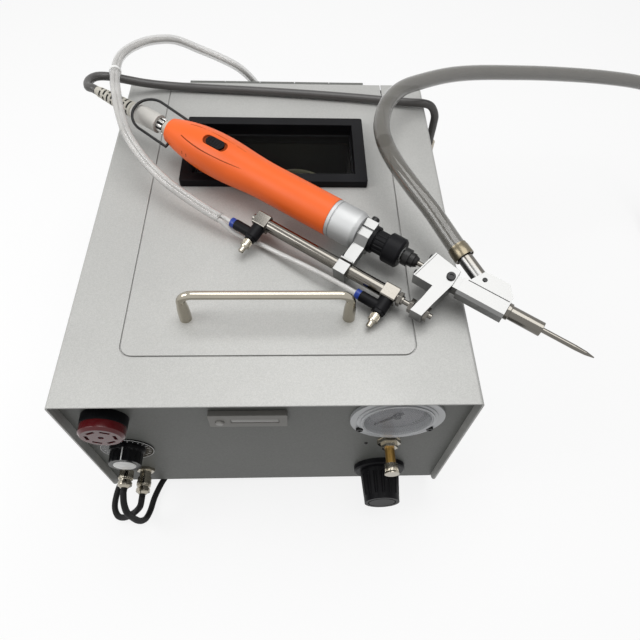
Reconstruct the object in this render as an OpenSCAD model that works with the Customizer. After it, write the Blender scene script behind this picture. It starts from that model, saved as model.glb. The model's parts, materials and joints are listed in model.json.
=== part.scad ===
// Automatic screwdriving machine: a screw feeder in a sheet steel cabinet, with its hand tool on the lid.
// Millimetres, +Z up, front towards -Y, origin on the table under the middle of the cabinet.

/* [Cabinet] */
// Width over the side walls
cab_w = 300; // [290:1:340]
// Depth of the cover from its front edge to its back edge
cab_d = 364; // [356:1:400]
// Height of the side walls
cab_h = 181; // [176:1:210]
// Thickness of the sheet steel
sheet = 1.5; // [1:0.1:2]
// Outer radius of the cover's two long bends
bend_r = 3; // [2.2:0.1:5]
// Height of the rubber feet
foot_h = 12; // [10:0.5:18]
// Diameter of the rubber feet
foot_d = 22; // [16:1:28]
// Setback of the front panel from the cover's front edge
panel_setback = 7.5; // [5:0.5:10]
// Radius of the side walls' lower front corners
wall_corner_r = 14; // [6:1:20]

/* [Lid] */
// Width of the lid
lid_w = 214; // [200:1:228]
// Distance from the cover's front edge to the lid
lid_front = 40; // [30:1:55]
// Gap round the lid
lid_gap = 1; // [0.6:0.1:2]
// Radius of the lid's front corners
lid_r = 9; // [4:1:16]
// Width of the window frame
window_w = 166; // [150:1:180]
// Depth of the window frame
window_d = 88; // [78:1:96]
// Distance from the cover's back edge to the window frame
window_back = 65; // [58:1:75]
// Width of the window frame's border
window_border = 10.5; // [8:0.5:13]
// Height of the window frame above the lid
window_h = 7.2; // [4:0.1:7.2]
// Distance between the handle's posts
handle_span = 123; // [110:1:128]
// Diameter of the handle's rod
handle_rod = 6.4; // [5:0.1:8]
// Height of the handle's bar above the lid
handle_rise = 29; // [24:1:36]
// Distance from the cover's front edge to the handle
handle_front = 72; // [60:1:76]

/* [Front panel] */
// Diameter of the buzzer
buzzer_d = 34; // [28:0.5:36]
// How far the buzzer stands out
buzzer_out = 16; // [12:0.5:20]
// Diameter of the speed scale plate
scale_d = 43; // [36:0.5:46]
// Diameter of the speed knob
speed_knob_d = 26; // [20:0.5:30]
// Width of the counter
counter_w = 57.5; // [48:0.5:64]
// Height of the counter
counter_h = 20; // [16:0.5:24]
// Diameter of the gauge's flange
gauge_d = 71; // [60:0.5:74]
// Diameter of the regulator's panel ring
ring_d = 46; // [40:0.5:50]
// Diameter of the regulator knob at its base
reg_knob_d = 35; // [28:0.5:38]
// Diameter of the cable plugs
plug_d = 12; // [10:0.5:14]

/* [Hand tool] */
// Length of the driver's orange shell
shell_l = 169.5; // [160:0.5:176]
// Largest radius of the driver's shell
shell_r = 18.8; // [16:0.1:18.8]
// Wall of the driver's shell
shell_wall = 2.4; // [1.8:0.1:3]
// Diameter of the driver's front ring
ring_front_d = 31; // [28:0.5:32]
// Distance between the driver's axis and the air cylinder's axis
axis_gap = 33; // [31:0.5:36]
// Side of the air cylinder's square heads
head_side = 12; // [11:0.5:13]
// Diameter of the air cylinder's tube
cyl_d = 10.6; // [9:0.1:11]
// Diameter of the piston rod
rod_d = 4; // [3:0.1:5]
// Diameter of the bit's shaft
bit_d = 4; // [3:0.1:5]
// Diameter of the bit sleeve
sleeve_d = 11; // [9:0.5:12.5]
// Diameter of the screw hose
hose_d = 14.5; // [12:0.5:16]

/* [Hidden] */
$fn = 48;
// Gap between bodies that pass each other
gap = 0.3;
// Radial clearance of a running fit
run = 0.05;
// A length that runs past a face, so that a cut leaves no skin
past = 1;

// Where the cabinet stands in the part's frame
cab_x = -31.2;
cab_y = 5.4;
top_z = foot_h + cab_h;
front_y = -cab_d / 2;
back_y = cab_d / 2;
panel_y = front_y + panel_setback;
inner_w = cab_w - 2 * sheet;
floor_z = foot_h + sheet;
foot_inset = 30;

// Lid, its hinge and its ledge
lid_t = sheet - gap;
lid_end = back_y - gap;
ledge_in = 6;
ledge_out = 5;
ledge_end = back_y - 12;
lid_flange_in = 8;
lid_flange_h = 10;
lid_flange_end = back_y - 25;
hinge_r = 2.5;
pin_r = 1.2;
hinge_y = back_y + hinge_r + gap;
hinge_z = top_z - hinge_r - 0.2;
hinge_leaf_t = 1;
hinge_w = 180;
knuckles = 5;
knuckle_l = hinge_w / knuckles;
rear_top = top_z - 6;
window_y = back_y - window_back - window_d / 2;
pane_w = window_w - 2 * window_border;
pane_d = window_d - 2 * window_border;
skirt_t = 2;
skirt_h = 14;
pane_t = 3;
pane_drop = 2;
pane_lip = 1.5;
handle_x = -2;
handle_y = front_y + handle_front;
handle_bend = 9;

// Places on the front panel
left_col = -cab_w / 2 + 30;
right_col = cab_w / 2 - 55;
buzzer_z = top_z - 33;
buzzer_base_h = buzzer_out / 2;
buzzer_stem_d = 22;
knob_z = top_z - 97;
counter_x = -16;
counter_z = top_z - 33;
counter_out = 4.5;
counter_button_d = 6;
counter_button_x = counter_x - counter_w / 2 + 8;
counter_wall = 3;
gauge_z = top_z - 38;
gauge_flange_t = 2.5;
gauge_bezel_d = gauge_d - 15;
gauge_bezel_h = 7;
gauge_wall = 2.5;
gauge_cup_d = gauge_d - 11;
gauge_hole_r = 1.7;
valve_z = top_z - 85;
valve_stem_d = 8;
valve_stem_l = 20;
valve_knob_d = 11;
reg_z = foot_h + 30;
ring_t = 5;
reg_neck_d = reg_knob_d - 11;
reg_knob_l = 35;
reg_body_d = ring_d - 6;
socket_spots = [[-cab_w / 2 + 22, foot_h + 50], [-cab_w / 2 + 33, foot_h + 31]];
socket_d = 10;
socket_out = 8;
plug_l = 15;
cable_d = 5.6;

// Places on the rear panel and the right wall
outlet_x = 102;
outlet_z = foot_h + 48;
outlet_l = 22;
inlet_x = -60;
inlet_z = foot_h + 38;
rocker_x = -5;
rocker_w = 21;
rocker_h = 15;
rocker_tilt = 7;
rocker_pin_r = 1.2;
sleeve_gland = [-14, foot_h + 108];
gland_l = 12;
sleeve_tube_d = 9;
cable_holes = [[-118, foot_h + 34], [-100, foot_h + 34]];
grommet_l = 8;
cord_d = 8;
side_y = 142;
side_z = foot_h + 128;
side_out = 12;
side_up = 14;

// Screw bin, bowl and escapement
bin_w = 150;
bin_d = 98;
bin_h = 62;
bin_z = foot_h + 92;
bowl_x = 18;
bowl_y = window_y;
bowl_d = 84;
bowl_h = 30;
bowl_lift = 4;
bowl_shaft_r = 3;
motor_d = 37;
motor_top = bin_z - 8;
rail_l = outlet_x - bin_w / 2 - 12;

// The hand tool's place: the tail of its axis, and its turn about X, Y and Z
tool_tail = [-96, 73.4, top_z + 28.4];
tool_turn = [14, 1.8, -35.2];
shell_end = 178;
shell_start = shell_end - shell_l;
bulge_s = shell_end - 118;
waist_s = shell_end - 62;
motor_start = shell_start + 24;
tail_r = 11;
shell_front_r = ring_front_d / 2 + 0.3;
tail_drop = shell_r - tail_r;
front_drop = shell_r - shell_front_r;
tail_run = bulge_s - shell_start;
tail_arc = (tail_run * tail_run + tail_drop * tail_drop) / (2 * tail_drop);
ring_end = shell_end + 26;
nose_r = 8;
clamp_t = 10.5;
clamp_end = ring_end + clamp_t;
torque_end = clamp_end + 27;
torque_r = 11;
torque_neck_r = 9.3;
collar_r = 12;
collar_l = 14;
hub_r = 6;
shaft_r = 4;
chuck_start = torque_end + 1.5;
chuck_l = 12;
chuck_r = 7;
bit_seat = chuck_start + 3;
block_start = chuck_start + chuck_l + 3;
block_l = 29;
head_start = block_start + block_l;
head_l = 42;
head_neck_l = 4.5;
sleeve_start = head_start + head_l;
sleeve_l = 28;
bit_end = sleeve_start + sleeve_l + 39;
bit_bore_r = bit_d / 2 + 0.6;
switch_s = shell_end - 115.5;
switch_l = 17.5;
switch_w = 8.5;
switch_travel = 3;
connector_r = 7.6;
plug_r = 8.2;
plug_front = shell_start - 14.5;
plug_back = plug_front - 28;
boot_back = plug_back - 48;
boot_end_r = 4.6;
bail_s = shell_start + 5.5;
bail_y = 16;
bail_r = 1.2;
bail_run = 28;
bail_tilt = 14;

// Air cylinder and its fittings, placed along the tool's axis
head_l2 = 12;
rear_head = ring_end - 78.5;
front_head = ring_end + 40.5;
cyl_y = -axis_gap;
cyl_bore_r = cyl_d / 2 - 1.1;
piston_s = rear_head + 24.5;
piston_l = 8;
arm_s = block_start + 12.5;
arm_l = 9.5;
nut_w = 10;
banjo_r = 5.5;
banjo_start = axis_gap + head_side / 2;
banjo_l = 10.5;
port_out = banjo_start + 7;
port_l = 18;
port_r = 4.3;
ring_l = 4;
lock_l = 2.5;
adjuster_l = 7.5;
adjuster_r = 3.4;
screw_r = 1.8;
tube_d = 4;
spigot_turn = 27.5;
spigot_at = [head_start + 21.5, 9.5];
spigot_d = 11.6;
spigot_l = 29;

function unit(v) = v / norm(v);
function turn_x(a, v) = [v[0], cos(a) * v[1] - sin(a) * v[2], sin(a) * v[1] + cos(a) * v[2]];
function turn_y(a, v) = [cos(a) * v[0] + sin(a) * v[2], v[1], cos(a) * v[2] - sin(a) * v[0]];
function turn_z(a, v) = [cos(a) * v[0] - sin(a) * v[1], sin(a) * v[0] + cos(a) * v[1], v[2]];
function tool_way(v) = turn_z(tool_turn[2], turn_y(tool_turn[1], turn_x(tool_turn[0], v)));
function tool_pt(v) = tool_tail + tool_way(v);

// A smooth curve through hand-chosen points, and a round tube swept along it
function between(a, b, c, d, t) =
    0.5 * (2 * b + t * (c - a) + t * t * (2 * a - 5 * b + 4 * c - d) + t * t * t * (3 * b - a - 3 * c + d));
function at(p, i) = p[max(0, min(len(p) - 1, i))];
function curve(p, n) = concat(
    [for (i = [0 : len(p) - 2]) for (k = [0 : n - 1])
        between(at(p, i - 1), p[i], p[i + 1], at(p, i + 2), k / n)],
    [p[len(p) - 1]]);
function tangents(c) = [for (i = [0 : len(c) - 1]) unit(at(c, i + 1) - at(c, i - 1))];
function side_of(t) = unit(cross(t, abs(t[2]) < 0.8 ? [0, 0, 1] : [1, 0, 0]));
function carried(t, i = 0, done = []) = i == len(t) ? done :
    let (last = i == 0 ? side_of(t[0]) : done[i - 1])
    carried(t, i + 1, concat(done, [unit(last - (last * t[i]) * t[i])]));

// tip lists the steps of a fitting on the last end, each with its distance past the end and its diameter
module cord(points, d, steps, sides, first = 0, last = -1, tip = []) {
    whole = curve(points, steps);
    begin = first * steps;
    end = last < 0 ? len(whole) - 1 : last * steps;
    way = tangents(whole);
    c = [for (i = [begin : end]) whole[i]];
    t = [for (i = [begin : end]) way[i]];
    u = carried(t);
    n = len(c) - 1;
    stations = concat([for (i = [0 : n]) [c[i], t[i], u[i], d]],
        [for (p = tip) [c[n] + p[0] * t[n], t[n], u[n], p[1]]]);
    rings = [for (q = stations) for (k = [0 : sides - 1])
        q[0] + q[3] / 2 * (cos(360 * k / sides) * q[2] + sin(360 * k / sides) * cross(q[1], q[2]))];
    walls = [for (i = [0 : len(stations) - 2]) for (k = [0 : sides - 1])
        [i * sides + k, i * sides + (k + 1) % sides, (i + 1) * sides + (k + 1) % sides, (i + 1) * sides + k]];
    ends = [[for (k = [sides - 1 : -1 : 0]) k],
        [for (k = [0 : sides - 1]) (len(stations) - 1) * sides + k]];
    polyhedron(rings, concat(walls, ends), convexity = 8);
}

module rounded(w, h, r) {
    translate([-w / 2, -h / 2 + r]) square([w, h - 2 * r]);
    translate([-w / 2 + r, -h / 2]) square([w - 2 * r, h]);
    for (x = [-1, 1], y = [-1, 1]) translate([x * (w / 2 - r), y * (h / 2 - r)]) circle(r);
}
module tube(r, bore, h) {
    difference() {
        cylinder(r = r, h = h);
        translate([0, 0, -past]) cylinder(r = bore, h = h + 2 * past);
    }
}
module hexagon(across, h) { cylinder(d = across / cos(30), h = h, $fn = 6); }
module at_cabinet() { translate([cab_x, cab_y, 0]) children(); }
module on_panel(x, z) { translate([x, panel_y, z]) rotate([90, 0, 0]) children(); }
module on_back(x, z) { translate([x, back_y, z]) rotate([-90, 0, 0]) children(); }
module on_tool() { at_cabinet() translate(tool_tail) rotate(tool_turn) children(); }
module along(s, y = 0, z = 0) { translate([s, y, z]) rotate([0, 90, 0]) children(); }
module outward(s, out) { translate([s, -out, 0]) rotate([90, 0, 0]) children(); }

module cover_outline(t) {
    w = cab_w - 2 * t;
    r = bend_r - t;
    translate([-w / 2, -past * (t > 0 ? 1 : 0)]) square([w, cab_h - bend_r + past * (t > 0 ? 1 : 0)]);
    translate([-w / 2 + r, 0]) square([w - 2 * r, cab_h - t]);
    for (x = [-1, 1]) translate([x * (w / 2 - r), cab_h - bend_r]) circle(r);
}
module lid_outline(g) {
    w = lid_w + 2 * g;
    y = front_y + lid_front - g;
    r = max(lid_r + g, 1);
    translate([-w / 2, y + r]) square([w, lid_end - y - r]);
    translate([-w / 2 + r, y]) square([w - 2 * r, lid_end - y]);
    for (x = [-1, 1]) translate([x * (w / 2 - r), y + r]) circle(r);
}
module cover() color("silver") difference() {
    union() {
        translate([0, back_y, foot_h]) rotate([90, 0, 0]) linear_extrude(cab_d) difference() {
            cover_outline(0);
            cover_outline(sheet);
        }
        translate([0, 0, top_z - 2 * sheet]) linear_extrude(sheet) intersection() {
            lid_outline(lid_gap + ledge_out);
            translate([-cab_w / 2, front_y]) square([cab_w, ledge_end - front_y]);
        }
    }
    translate([0, 0, top_z - sheet]) linear_extrude(sheet + past) lid_outline(lid_gap);
    translate([-lid_w / 2 - lid_gap, lid_end - past, top_z - sheet])
        cube([lid_w + 2 * lid_gap, 3, sheet + past]);
    translate([0, 0, top_z - 2 * sheet - past]) linear_extrude(sheet + 2 * past) lid_outline(-ledge_in);
    translate([-cab_w / 2 - past, front_y, foot_h]) rotate([90, 0, 90]) linear_extrude(cab_w + 2 * past)
        difference() {
            translate([-past, -past]) square(wall_corner_r + past);
            translate([wall_corner_r, wall_corner_r]) circle(wall_corner_r);
        }
    translate([cab_w / 2 - sheet - past, side_y, side_z]) rotate([0, 90, 0])
        cylinder(d = 10, h = sheet + 2 * past);
}
module panel_holes() {
    on_panel(left_col, buzzer_z) translate([0, 0, -9]) cylinder(d = buzzer_stem_d, h = 12);
    on_panel(left_col, knob_z) translate([0, 0, -9]) cylinder(d = 9, h = 12);
    on_panel(counter_x, counter_z)
        translate([-counter_w / 2 + counter_wall, -counter_h / 2 + counter_wall, -9])
        cube([counter_w - 2 * counter_wall, counter_h - 2 * counter_wall, 12]);
    on_panel(right_col, gauge_z) translate([0, 0, -9]) cylinder(d = gauge_cup_d, h = 12);
    on_panel(right_col, valve_z) translate([0, 0, -9]) cylinder(d = valve_stem_d, h = 12);
    on_panel(right_col, reg_z) translate([0, 0, -9]) cylinder(d = reg_body_d, h = 12);
    for (p = socket_spots) on_panel(p[0], p[1]) translate([0, 0, -9]) cylinder(d = socket_d, h = 12);
}
module rear_holes() {
    on_back(outlet_x, outlet_z) translate([0, 0, -9]) cylinder(d = 13, h = 12);
    on_back(inlet_x, inlet_z) translate([-15, -11, -9]) cube([30, 22, 12]);
    on_back(rocker_x, inlet_z) translate([-rocker_w / 2, -rocker_h / 2, -9]) cube([rocker_w, rocker_h, 12]);
    on_back(sleeve_gland[0], sleeve_gland[1]) translate([0, 0, -9]) cylinder(d = 13, h = 12);
    for (p = cable_holes) on_back(p[0], p[1]) translate([0, 0, -9]) cylinder(d = 10, h = 12);
}
module hinge_spots(first) {
    for (i = [first : 2 : knuckles - 1])
        translate([-hinge_w / 2 + i * knuckle_l + gap, hinge_y, hinge_z]) rotate([0, 90, 0]) children();
}
module chassis() color("silver") {
    difference() {
        union() {
            translate([-inner_w / 2, panel_y, foot_h]) cube([inner_w, back_y - panel_y, sheet]);
            translate([-inner_w / 2, panel_y, foot_h]) cube([inner_w, sheet, cab_h - 2 * sheet]);
            translate([-inner_w / 2, back_y - sheet, foot_h]) cube([inner_w, sheet, rear_top - foot_h]);
        }
        panel_holes();
        rear_holes();
    }
    translate([-hinge_w / 2, back_y, rear_top - 12]) cube([hinge_w, hinge_leaf_t, 12 - hinge_r + 1.3]);
    for (i = [0 : 2 : knuckles - 1])
        translate([-hinge_w / 2 + i * knuckle_l + gap, back_y, rear_top - 4])
            cube([knuckle_l - 2 * gap, hinge_leaf_t, hinge_z - rear_top + 4]);
    hinge_spots(0) cylinder(r = hinge_r, h = knuckle_l - 2 * gap);
    translate([-hinge_w / 2 + gap, hinge_y, hinge_z]) rotate([0, 90, 0])
        cylinder(r = pin_r, h = hinge_w - 2 * gap);
}
module lid_hinge() color("gainsboro") {
    leaf_z = top_z - lid_t - hinge_leaf_t;
    difference() {
        union() {
            translate([-hinge_w / 2, back_y - 20, leaf_z]) cube([hinge_w, 20 - gap, hinge_leaf_t]);
            for (i = [1 : 2 : knuckles - 1])
                translate([-hinge_w / 2 + i * knuckle_l + gap, back_y - 2, leaf_z])
                    cube([knuckle_l - 2 * gap, hinge_y - back_y + 2, hinge_leaf_t]);
            hinge_spots(1) cylinder(r = hinge_r, h = knuckle_l - 2 * gap);
        }
        translate([-hinge_w / 2, hinge_y, hinge_z]) rotate([0, 90, 0]) cylinder(r = pin_r + run, h = hinge_w);
    }
}
module feet() color("dimgray") for (x = [-1, 1], y = [-1, 1])
    translate([x * (cab_w / 2 - foot_inset), y * (cab_d / 2 - foot_inset), 0])
        cylinder(d1 = foot_d - 3, d2 = foot_d, h = foot_h);
module lid() color("silver") difference() {
    union() {
        translate([0, 0, top_z - lid_t]) linear_extrude(lid_t) lid_outline(0);
        translate([0, 0, top_z - lid_flange_h]) linear_extrude(lid_flange_h - lid_t) intersection() {
            difference() {
                lid_outline(-lid_flange_in);
                lid_outline(-lid_flange_in - sheet);
            }
            translate([-cab_w / 2, front_y]) square([cab_w, lid_flange_end - front_y]);
        }
    }
    translate([0, window_y, top_z - 5]) linear_extrude(9)
        square([pane_w + 2 * skirt_t, pane_d + 2 * skirt_t], center = true);
}
module window_frame() color("black") translate([0, window_y, top_z]) difference() {
    union() {
        linear_extrude(window_h) rounded(window_w, window_d, 2);
        translate([0, 0, -skirt_h]) linear_extrude(skirt_h)
            square([pane_w + 2 * skirt_t, pane_d + 2 * skirt_t], center = true);
    }
    translate([0, 0, -pane_drop - pane_t]) linear_extrude(window_h + 2 * pane_t)
        square([pane_w, pane_d], center = true);
    translate([0, 0, -skirt_h - past]) linear_extrude(skirt_h)
        square([pane_w - 2 * pane_lip, pane_d - 2 * pane_lip], center = true);
}
module window_pane() color("lightgray", 0.4) translate([0, window_y, top_z - pane_drop - pane_t])
    linear_extrude(pane_t) square([pane_w, pane_d], center = true);
module handle() color("gainsboro") translate([handle_x, handle_y, top_z]) {
    for (x = [-1, 1]) {
        translate([x * handle_span / 2, 0, 0]) cylinder(d = handle_rod, h = handle_rise - handle_bend);
        translate([x * (handle_span / 2 - handle_bend), 0, handle_rise - handle_bend]) rotate([90, 0, 0])
            rotate([0, 0, x > 0 ? 0 : 90]) rotate_extrude(angle = 90)
                translate([handle_bend, 0]) circle(d = handle_rod);
    }
    translate([-handle_span / 2 + handle_bend, 0, handle_rise]) rotate([0, 90, 0])
        cylinder(d = handle_rod, h = handle_span - 2 * handle_bend);
}

module buzzer_base() color("black") on_panel(left_col, buzzer_z) {
    cylinder(d = buzzer_d, h = buzzer_base_h);
    translate([0, 0, -28]) cylinder(d = buzzer_stem_d, h = 28);
    translate([0, 0, -sheet - 4]) hexagon(28, 4);
}
module buzzer_lens() color("firebrick") on_panel(left_col, buzzer_z) difference() {
    union() {
        translate([0, 0, buzzer_base_h]) cylinder(d = buzzer_d - 1, h = buzzer_out - buzzer_base_h - 2);
        translate([0, 0, buzzer_out - 2]) cylinder(d1 = buzzer_d - 1, d2 = buzzer_d - 5, h = 2);
    }
    for (k = [0 : 5]) rotate(60 * k) translate([buzzer_d / 2 - 8, -3.5, buzzer_out - 1.5]) cube([2.2, 7, 3]);
    translate([0, 0, buzzer_out - 1.5]) cylinder(d = 4, h = 3);
}
module speed_scale() color("black") on_panel(left_col, knob_z) difference() {
    union() {
        cylinder(d = scale_d, h = 1.2);
        translate([0, 0, -6]) cylinder(d = 9, h = 6);
        translate([0, 0, -sheet - 14]) cylinder(d = 17, h = 14);
    }
    translate([0, 0, -12]) cylinder(r = bowl_shaft_r + run, h = 20);
}
module speed_knob() color("black") on_panel(left_col, knob_z) difference() {
    union() {
        translate([0, 0, -11]) cylinder(r = bowl_shaft_r, h = 14);
        translate([0, 0, 1.2 + gap]) cylinder(d = speed_knob_d + 3, h = 2.5);
        translate([0, 0, 1.2 + gap]) cylinder(d1 = speed_knob_d + 1, d2 = speed_knob_d, h = 13);
    }
    for (k = [0 : 17]) rotate(20 * k) translate([speed_knob_d / 2 + 0.8, 0, 5])
        cylinder(r = 1.2, h = 12, $fn = 16);
    translate([0, 0, 14]) tube(speed_knob_d / 2 - 4, speed_knob_d / 2 - 4.8, 3);
}
module counter_case() color("dimgray") on_panel(counter_x, counter_z) difference() {
    union() {
        linear_extrude(counter_out) rounded(counter_w, counter_h, 1.5);
        translate([-counter_w / 2 + counter_wall, -counter_h / 2 + counter_wall, -32])
            cube([counter_w - 2 * counter_wall, counter_h - 2 * counter_wall, 32]);
    }
    translate([counter_button_x - counter_x, -1.5, counter_out - 3.5])
        cylinder(d = counter_button_d + 2 * gap, h = 6);
    translate([-counter_w / 2 + 16, -3, counter_out - 0.8]) cube([counter_w - 22, 6, 2]);
}
module counter_button() color("gray") on_panel(counter_button_x, counter_z - 1.5)
    translate([0, 0, counter_out - 1.5]) {
        cylinder(d = counter_button_d, h = 2.5);
        translate([0, 0, 2.5]) cylinder(d1 = counter_button_d, d2 = counter_button_d - 1.5, h = 0.7);
    }
module gauge_case() color("lightgray") on_panel(right_col, gauge_z) difference() {
    union() {
        cylinder(d = gauge_d, h = gauge_flange_t);
        cylinder(d = gauge_bezel_d, h = gauge_bezel_h);
        translate([0, 0, -30]) cylinder(d = gauge_cup_d, h = 30);
        translate([0, 0, -44]) hexagon(14, 15);
    }
    translate([0, 0, -2]) cylinder(d = gauge_bezel_d - 2 * gauge_wall, h = gauge_bezel_h + 3);
    translate([0, 0, -8]) cylinder(r = 1 + run, h = 8);
    for (k = [0 : 2]) rotate(90 + 120 * k) translate([gauge_d / 2 - 4, 0, -past])
        cylinder(r = gauge_hole_r, h = gauge_flange_t + 2 * past);
}
module gauge_lens() color("white", 0.3) on_panel(right_col, gauge_z) {
    translate([0, 0, gauge_bezel_h - 2.5]) cylinder(d = gauge_bezel_d - 2 * gauge_wall, h = 2.5);
    translate([0, 0, gauge_bezel_h]) cylinder(d1 = gauge_bezel_d - 2, d2 = gauge_bezel_d - 6, h = 2.5);
}
module gauge_needle() color("black") on_panel(right_col, gauge_z) rotate(225) {
    translate([0, 0, -6]) cylinder(r = 1, h = 7);
    translate([0, 0, -1]) cylinder(d = 6, h = 2);
    translate([0, 0, -1]) linear_extrude(0.8)
        polygon([[-6, -1.2], [gauge_bezel_d / 2 - 6, -0.4], [gauge_bezel_d / 2 - 6, 0.4], [-6, 1.2]]);
}
module valve_body() color("goldenrod") on_panel(right_col, valve_z) difference() {
    union() {
        translate([0, 0, -26]) cylinder(d = valve_stem_d, h = valve_stem_l + 26);
        cylinder(d = 19, h = 0.8);
        translate([0, 0, 0.8]) hexagon(17, 3);
        translate([0, 0, 3.8]) hexagon(12, 3.5);
        translate([0, 0, -26 - sheet]) hexagon(14, 22);
    }
    translate([0, 0, 1]) cylinder(r = 2 + run, h = valve_stem_l);
}
module valve_knob() color("gainsboro") on_panel(right_col, valve_z) {
    translate([0, 0, 4]) cylinder(r = 2, h = valve_stem_l - 3);
    translate([0, 0, valve_stem_l + gap]) cylinder(d = valve_knob_d - 1, h = 7);
    translate([0, 0, valve_stem_l + gap + 7]) cylinder(d = valve_knob_d + 1, h = 1.6);
}
module regulator_body() color("dimgray") on_panel(right_col, reg_z) difference() {
    union() {
        cylinder(d = ring_d, h = ring_t - 1);
        translate([0, 0, ring_t - 1]) cylinder(d1 = ring_d, d2 = ring_d - 3, h = 1);
        translate([0, 0, -45]) cylinder(d = reg_body_d, h = 45);
        translate([-24, -20, -75]) cube([48, 40, 31]);
    }
    translate([0, 0, -20]) cylinder(d = reg_neck_d + 2 * run, h = 20 + ring_t + past);
}
module regulator_knob() color("black") on_panel(right_col, reg_z) difference() {
    union() {
        translate([0, 0, -16]) cylinder(d = reg_neck_d, h = 16 + ring_t + 2);
        translate([0, 0, ring_t + gap]) cylinder(d1 = reg_knob_d, d2 = reg_knob_d - 4, h = reg_knob_l);
    }
    for (k = [0 : 15]) rotate(22.5 * k) translate([reg_knob_d / 2 + 0.2, 0, ring_t + 4]) rotate([0, -3.3, 0])
        cylinder(r = 1.5, h = reg_knob_l - 9, $fn = 16);
    translate([0, 0, ring_t + gap + reg_knob_l - 1]) tube(reg_knob_d / 2 - 5, reg_knob_d / 2 - 6, 3);
}
module cable_sockets() color("gainsboro") for (p = socket_spots) on_panel(p[0], p[1]) {
    translate([0, 0, -14]) cylinder(d = socket_d, h = 14 + socket_out);
    hexagon(14, 2.5);
}
module cable_plugs() color("gainsboro") for (p = socket_spots)
    on_panel(p[0], p[1]) translate([0, 0, socket_out]) {
    cylinder(d = plug_d, h = 8);
    translate([0, 0, 8]) cylinder(d = plug_d - 2, h = 2);
    translate([0, 0, 10]) cylinder(d = plug_d, h = 3);
    translate([0, 0, 13]) cylinder(d1 = plug_d - 2, d2 = cable_d + 1, h = plug_l - 13);
}

module screw_bin() color("gray") translate([0, window_y, 0]) {
    difference() {
        translate([-bin_w / 2, -bin_d / 2, bin_z]) cube([bin_w, bin_d, bin_h]);
        translate([-bin_w / 2 + sheet, -bin_d / 2 + sheet, bin_z + sheet])
            cube([bin_w - 2 * sheet, bin_d - 2 * sheet, bin_h]);
        translate([bowl_x, 0, bin_z - past]) cylinder(r = bowl_shaft_r + 2, h = sheet + 2 * past);
    }
    for (x = [-1, 1], y = [-1, 1]) translate([x * (bin_w / 2 - 5) - 4, y * (bin_d / 2 - 5) - 4, floor_z])
        cube([8, 8, bin_z - floor_z]);
}
module feed_bowl() color("darkolivegreen") translate([bowl_x, bowl_y, bin_z + bowl_lift]) {
    difference() {
        cylinder(d = bowl_d, h = bowl_h);
        translate([0, 0, 2.5]) cylinder(d = bowl_d - 5, h = bowl_h);
    }
    for (k = [0 : 5]) rotate(60 * k) translate([10, -1, 2]) cube([bowl_d / 2 - 11.5, 2, 14]);
    translate([0, 0, 2]) cylinder(r1 = 11, r2 = 5, h = 12);
    translate([0, 0, motor_top - 18 - bin_z - bowl_lift])
        cylinder(r = bowl_shaft_r, h = bin_z + bowl_lift - motor_top + 19);
}
module bowl_motor() color("dimgray") translate([bowl_x, bowl_y, 0]) difference() {
    union() {
        translate([0, 0, floor_z]) cylinder(d = motor_d - 8, h = 22);
        translate([0, 0, floor_z + 20]) cylinder(d = motor_d, h = motor_top - floor_z - 20);
    }
    translate([0, 0, motor_top - 20]) cylinder(r = bowl_shaft_r + run, h = 24);
}
module escapement() color("darkgray") {
    translate([bin_w / 2, window_y - 6, bin_z + 4]) cube([rail_l, 12, 8]);
    translate([outlet_x - 12, window_y - 22, bin_z - 6]) cube([24, 50, 24]);
    translate([outlet_x - 9, window_y - 12, floor_z]) cube([18, 24, bin_z - 6 - floor_z]);
    for (k = [0 : 2]) translate([outlet_x - 9, window_y - 20 + 15 * k, bin_z + 18]) cube([18, 11, 20]);
    translate([outlet_x, window_y + 10, outlet_z]) rotate([-90, 0, 0])
        cylinder(d = 11, h = back_y - sheet - 14 - window_y - 10);
}
module control_unit() color("seagreen") {
    translate([-120, -120, floor_z]) cube([100, 70, 42]);
    translate([-125, -40, floor_z + 8]) cube([110, 55, 1.6]);
    for (x = [-120, -24], y = [-35, 5]) translate([x, y, floor_z]) cylinder(d = 6, h = 8);
    for (k = [0 : 3]) translate([-115 + 24 * k, -30, floor_z + 9.6]) cube([15, 12, 7]);
}
module power_inlet() color("black") {
    flange_w = rocker_x - inlet_x + 40;
    difference() {
        union() {
            translate([inlet_x - 24, back_y, inlet_z - 14]) cube([flange_w, 2.5, 28]);
            on_back(inlet_x, inlet_z) translate([-15, -11, -26]) cube([30, 22, 26]);
            on_back(rocker_x, inlet_z) translate([-rocker_w / 2, -rocker_h / 2, -20])
                cube([rocker_w, rocker_h, 20]);
        }
        on_back(inlet_x, inlet_z) translate([-12, -8, -14]) cube([24, 16, 20]);
        on_back(rocker_x, inlet_z) translate([-rocker_w / 2 + 1.5, -rocker_h / 2 + 1.5, -8])
            cube([rocker_w - 3, rocker_h - 3, 20]);
        on_back(rocker_x, inlet_z) rocker_pin(rocker_pin_r + run, rocker_h - 1);
    }
    for (x = [-6, 0, 6]) on_back(inlet_x, inlet_z) translate([x - 1, x == 0 ? -4 : 0, -15]) cube([2, 4, 13]);
}
module rocker_pin(r, l) { translate([0, -l / 2, 0]) rotate([-90, 0, 0]) cylinder(r = r, h = l); }
module power_rocker() color("firebrick") on_back(rocker_x, inlet_z) rotate([0, rocker_tilt, 0]) {
    translate([0, rocker_h / 2 - 1.5 - gap, 0]) rotate([90, 0, 0]) linear_extrude(rocker_h - 3 - 2 * gap)
        polygon([[-rocker_w / 2 + 2.2, -4], [rocker_w / 2 - 2.2, -4], [rocker_w / 2 - 2, 3], [0, 4.4],
            [-rocker_w / 2 + 2, 3]]);
    rocker_pin(rocker_pin_r, rocker_h - 1 - 2 * gap);
}
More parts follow.
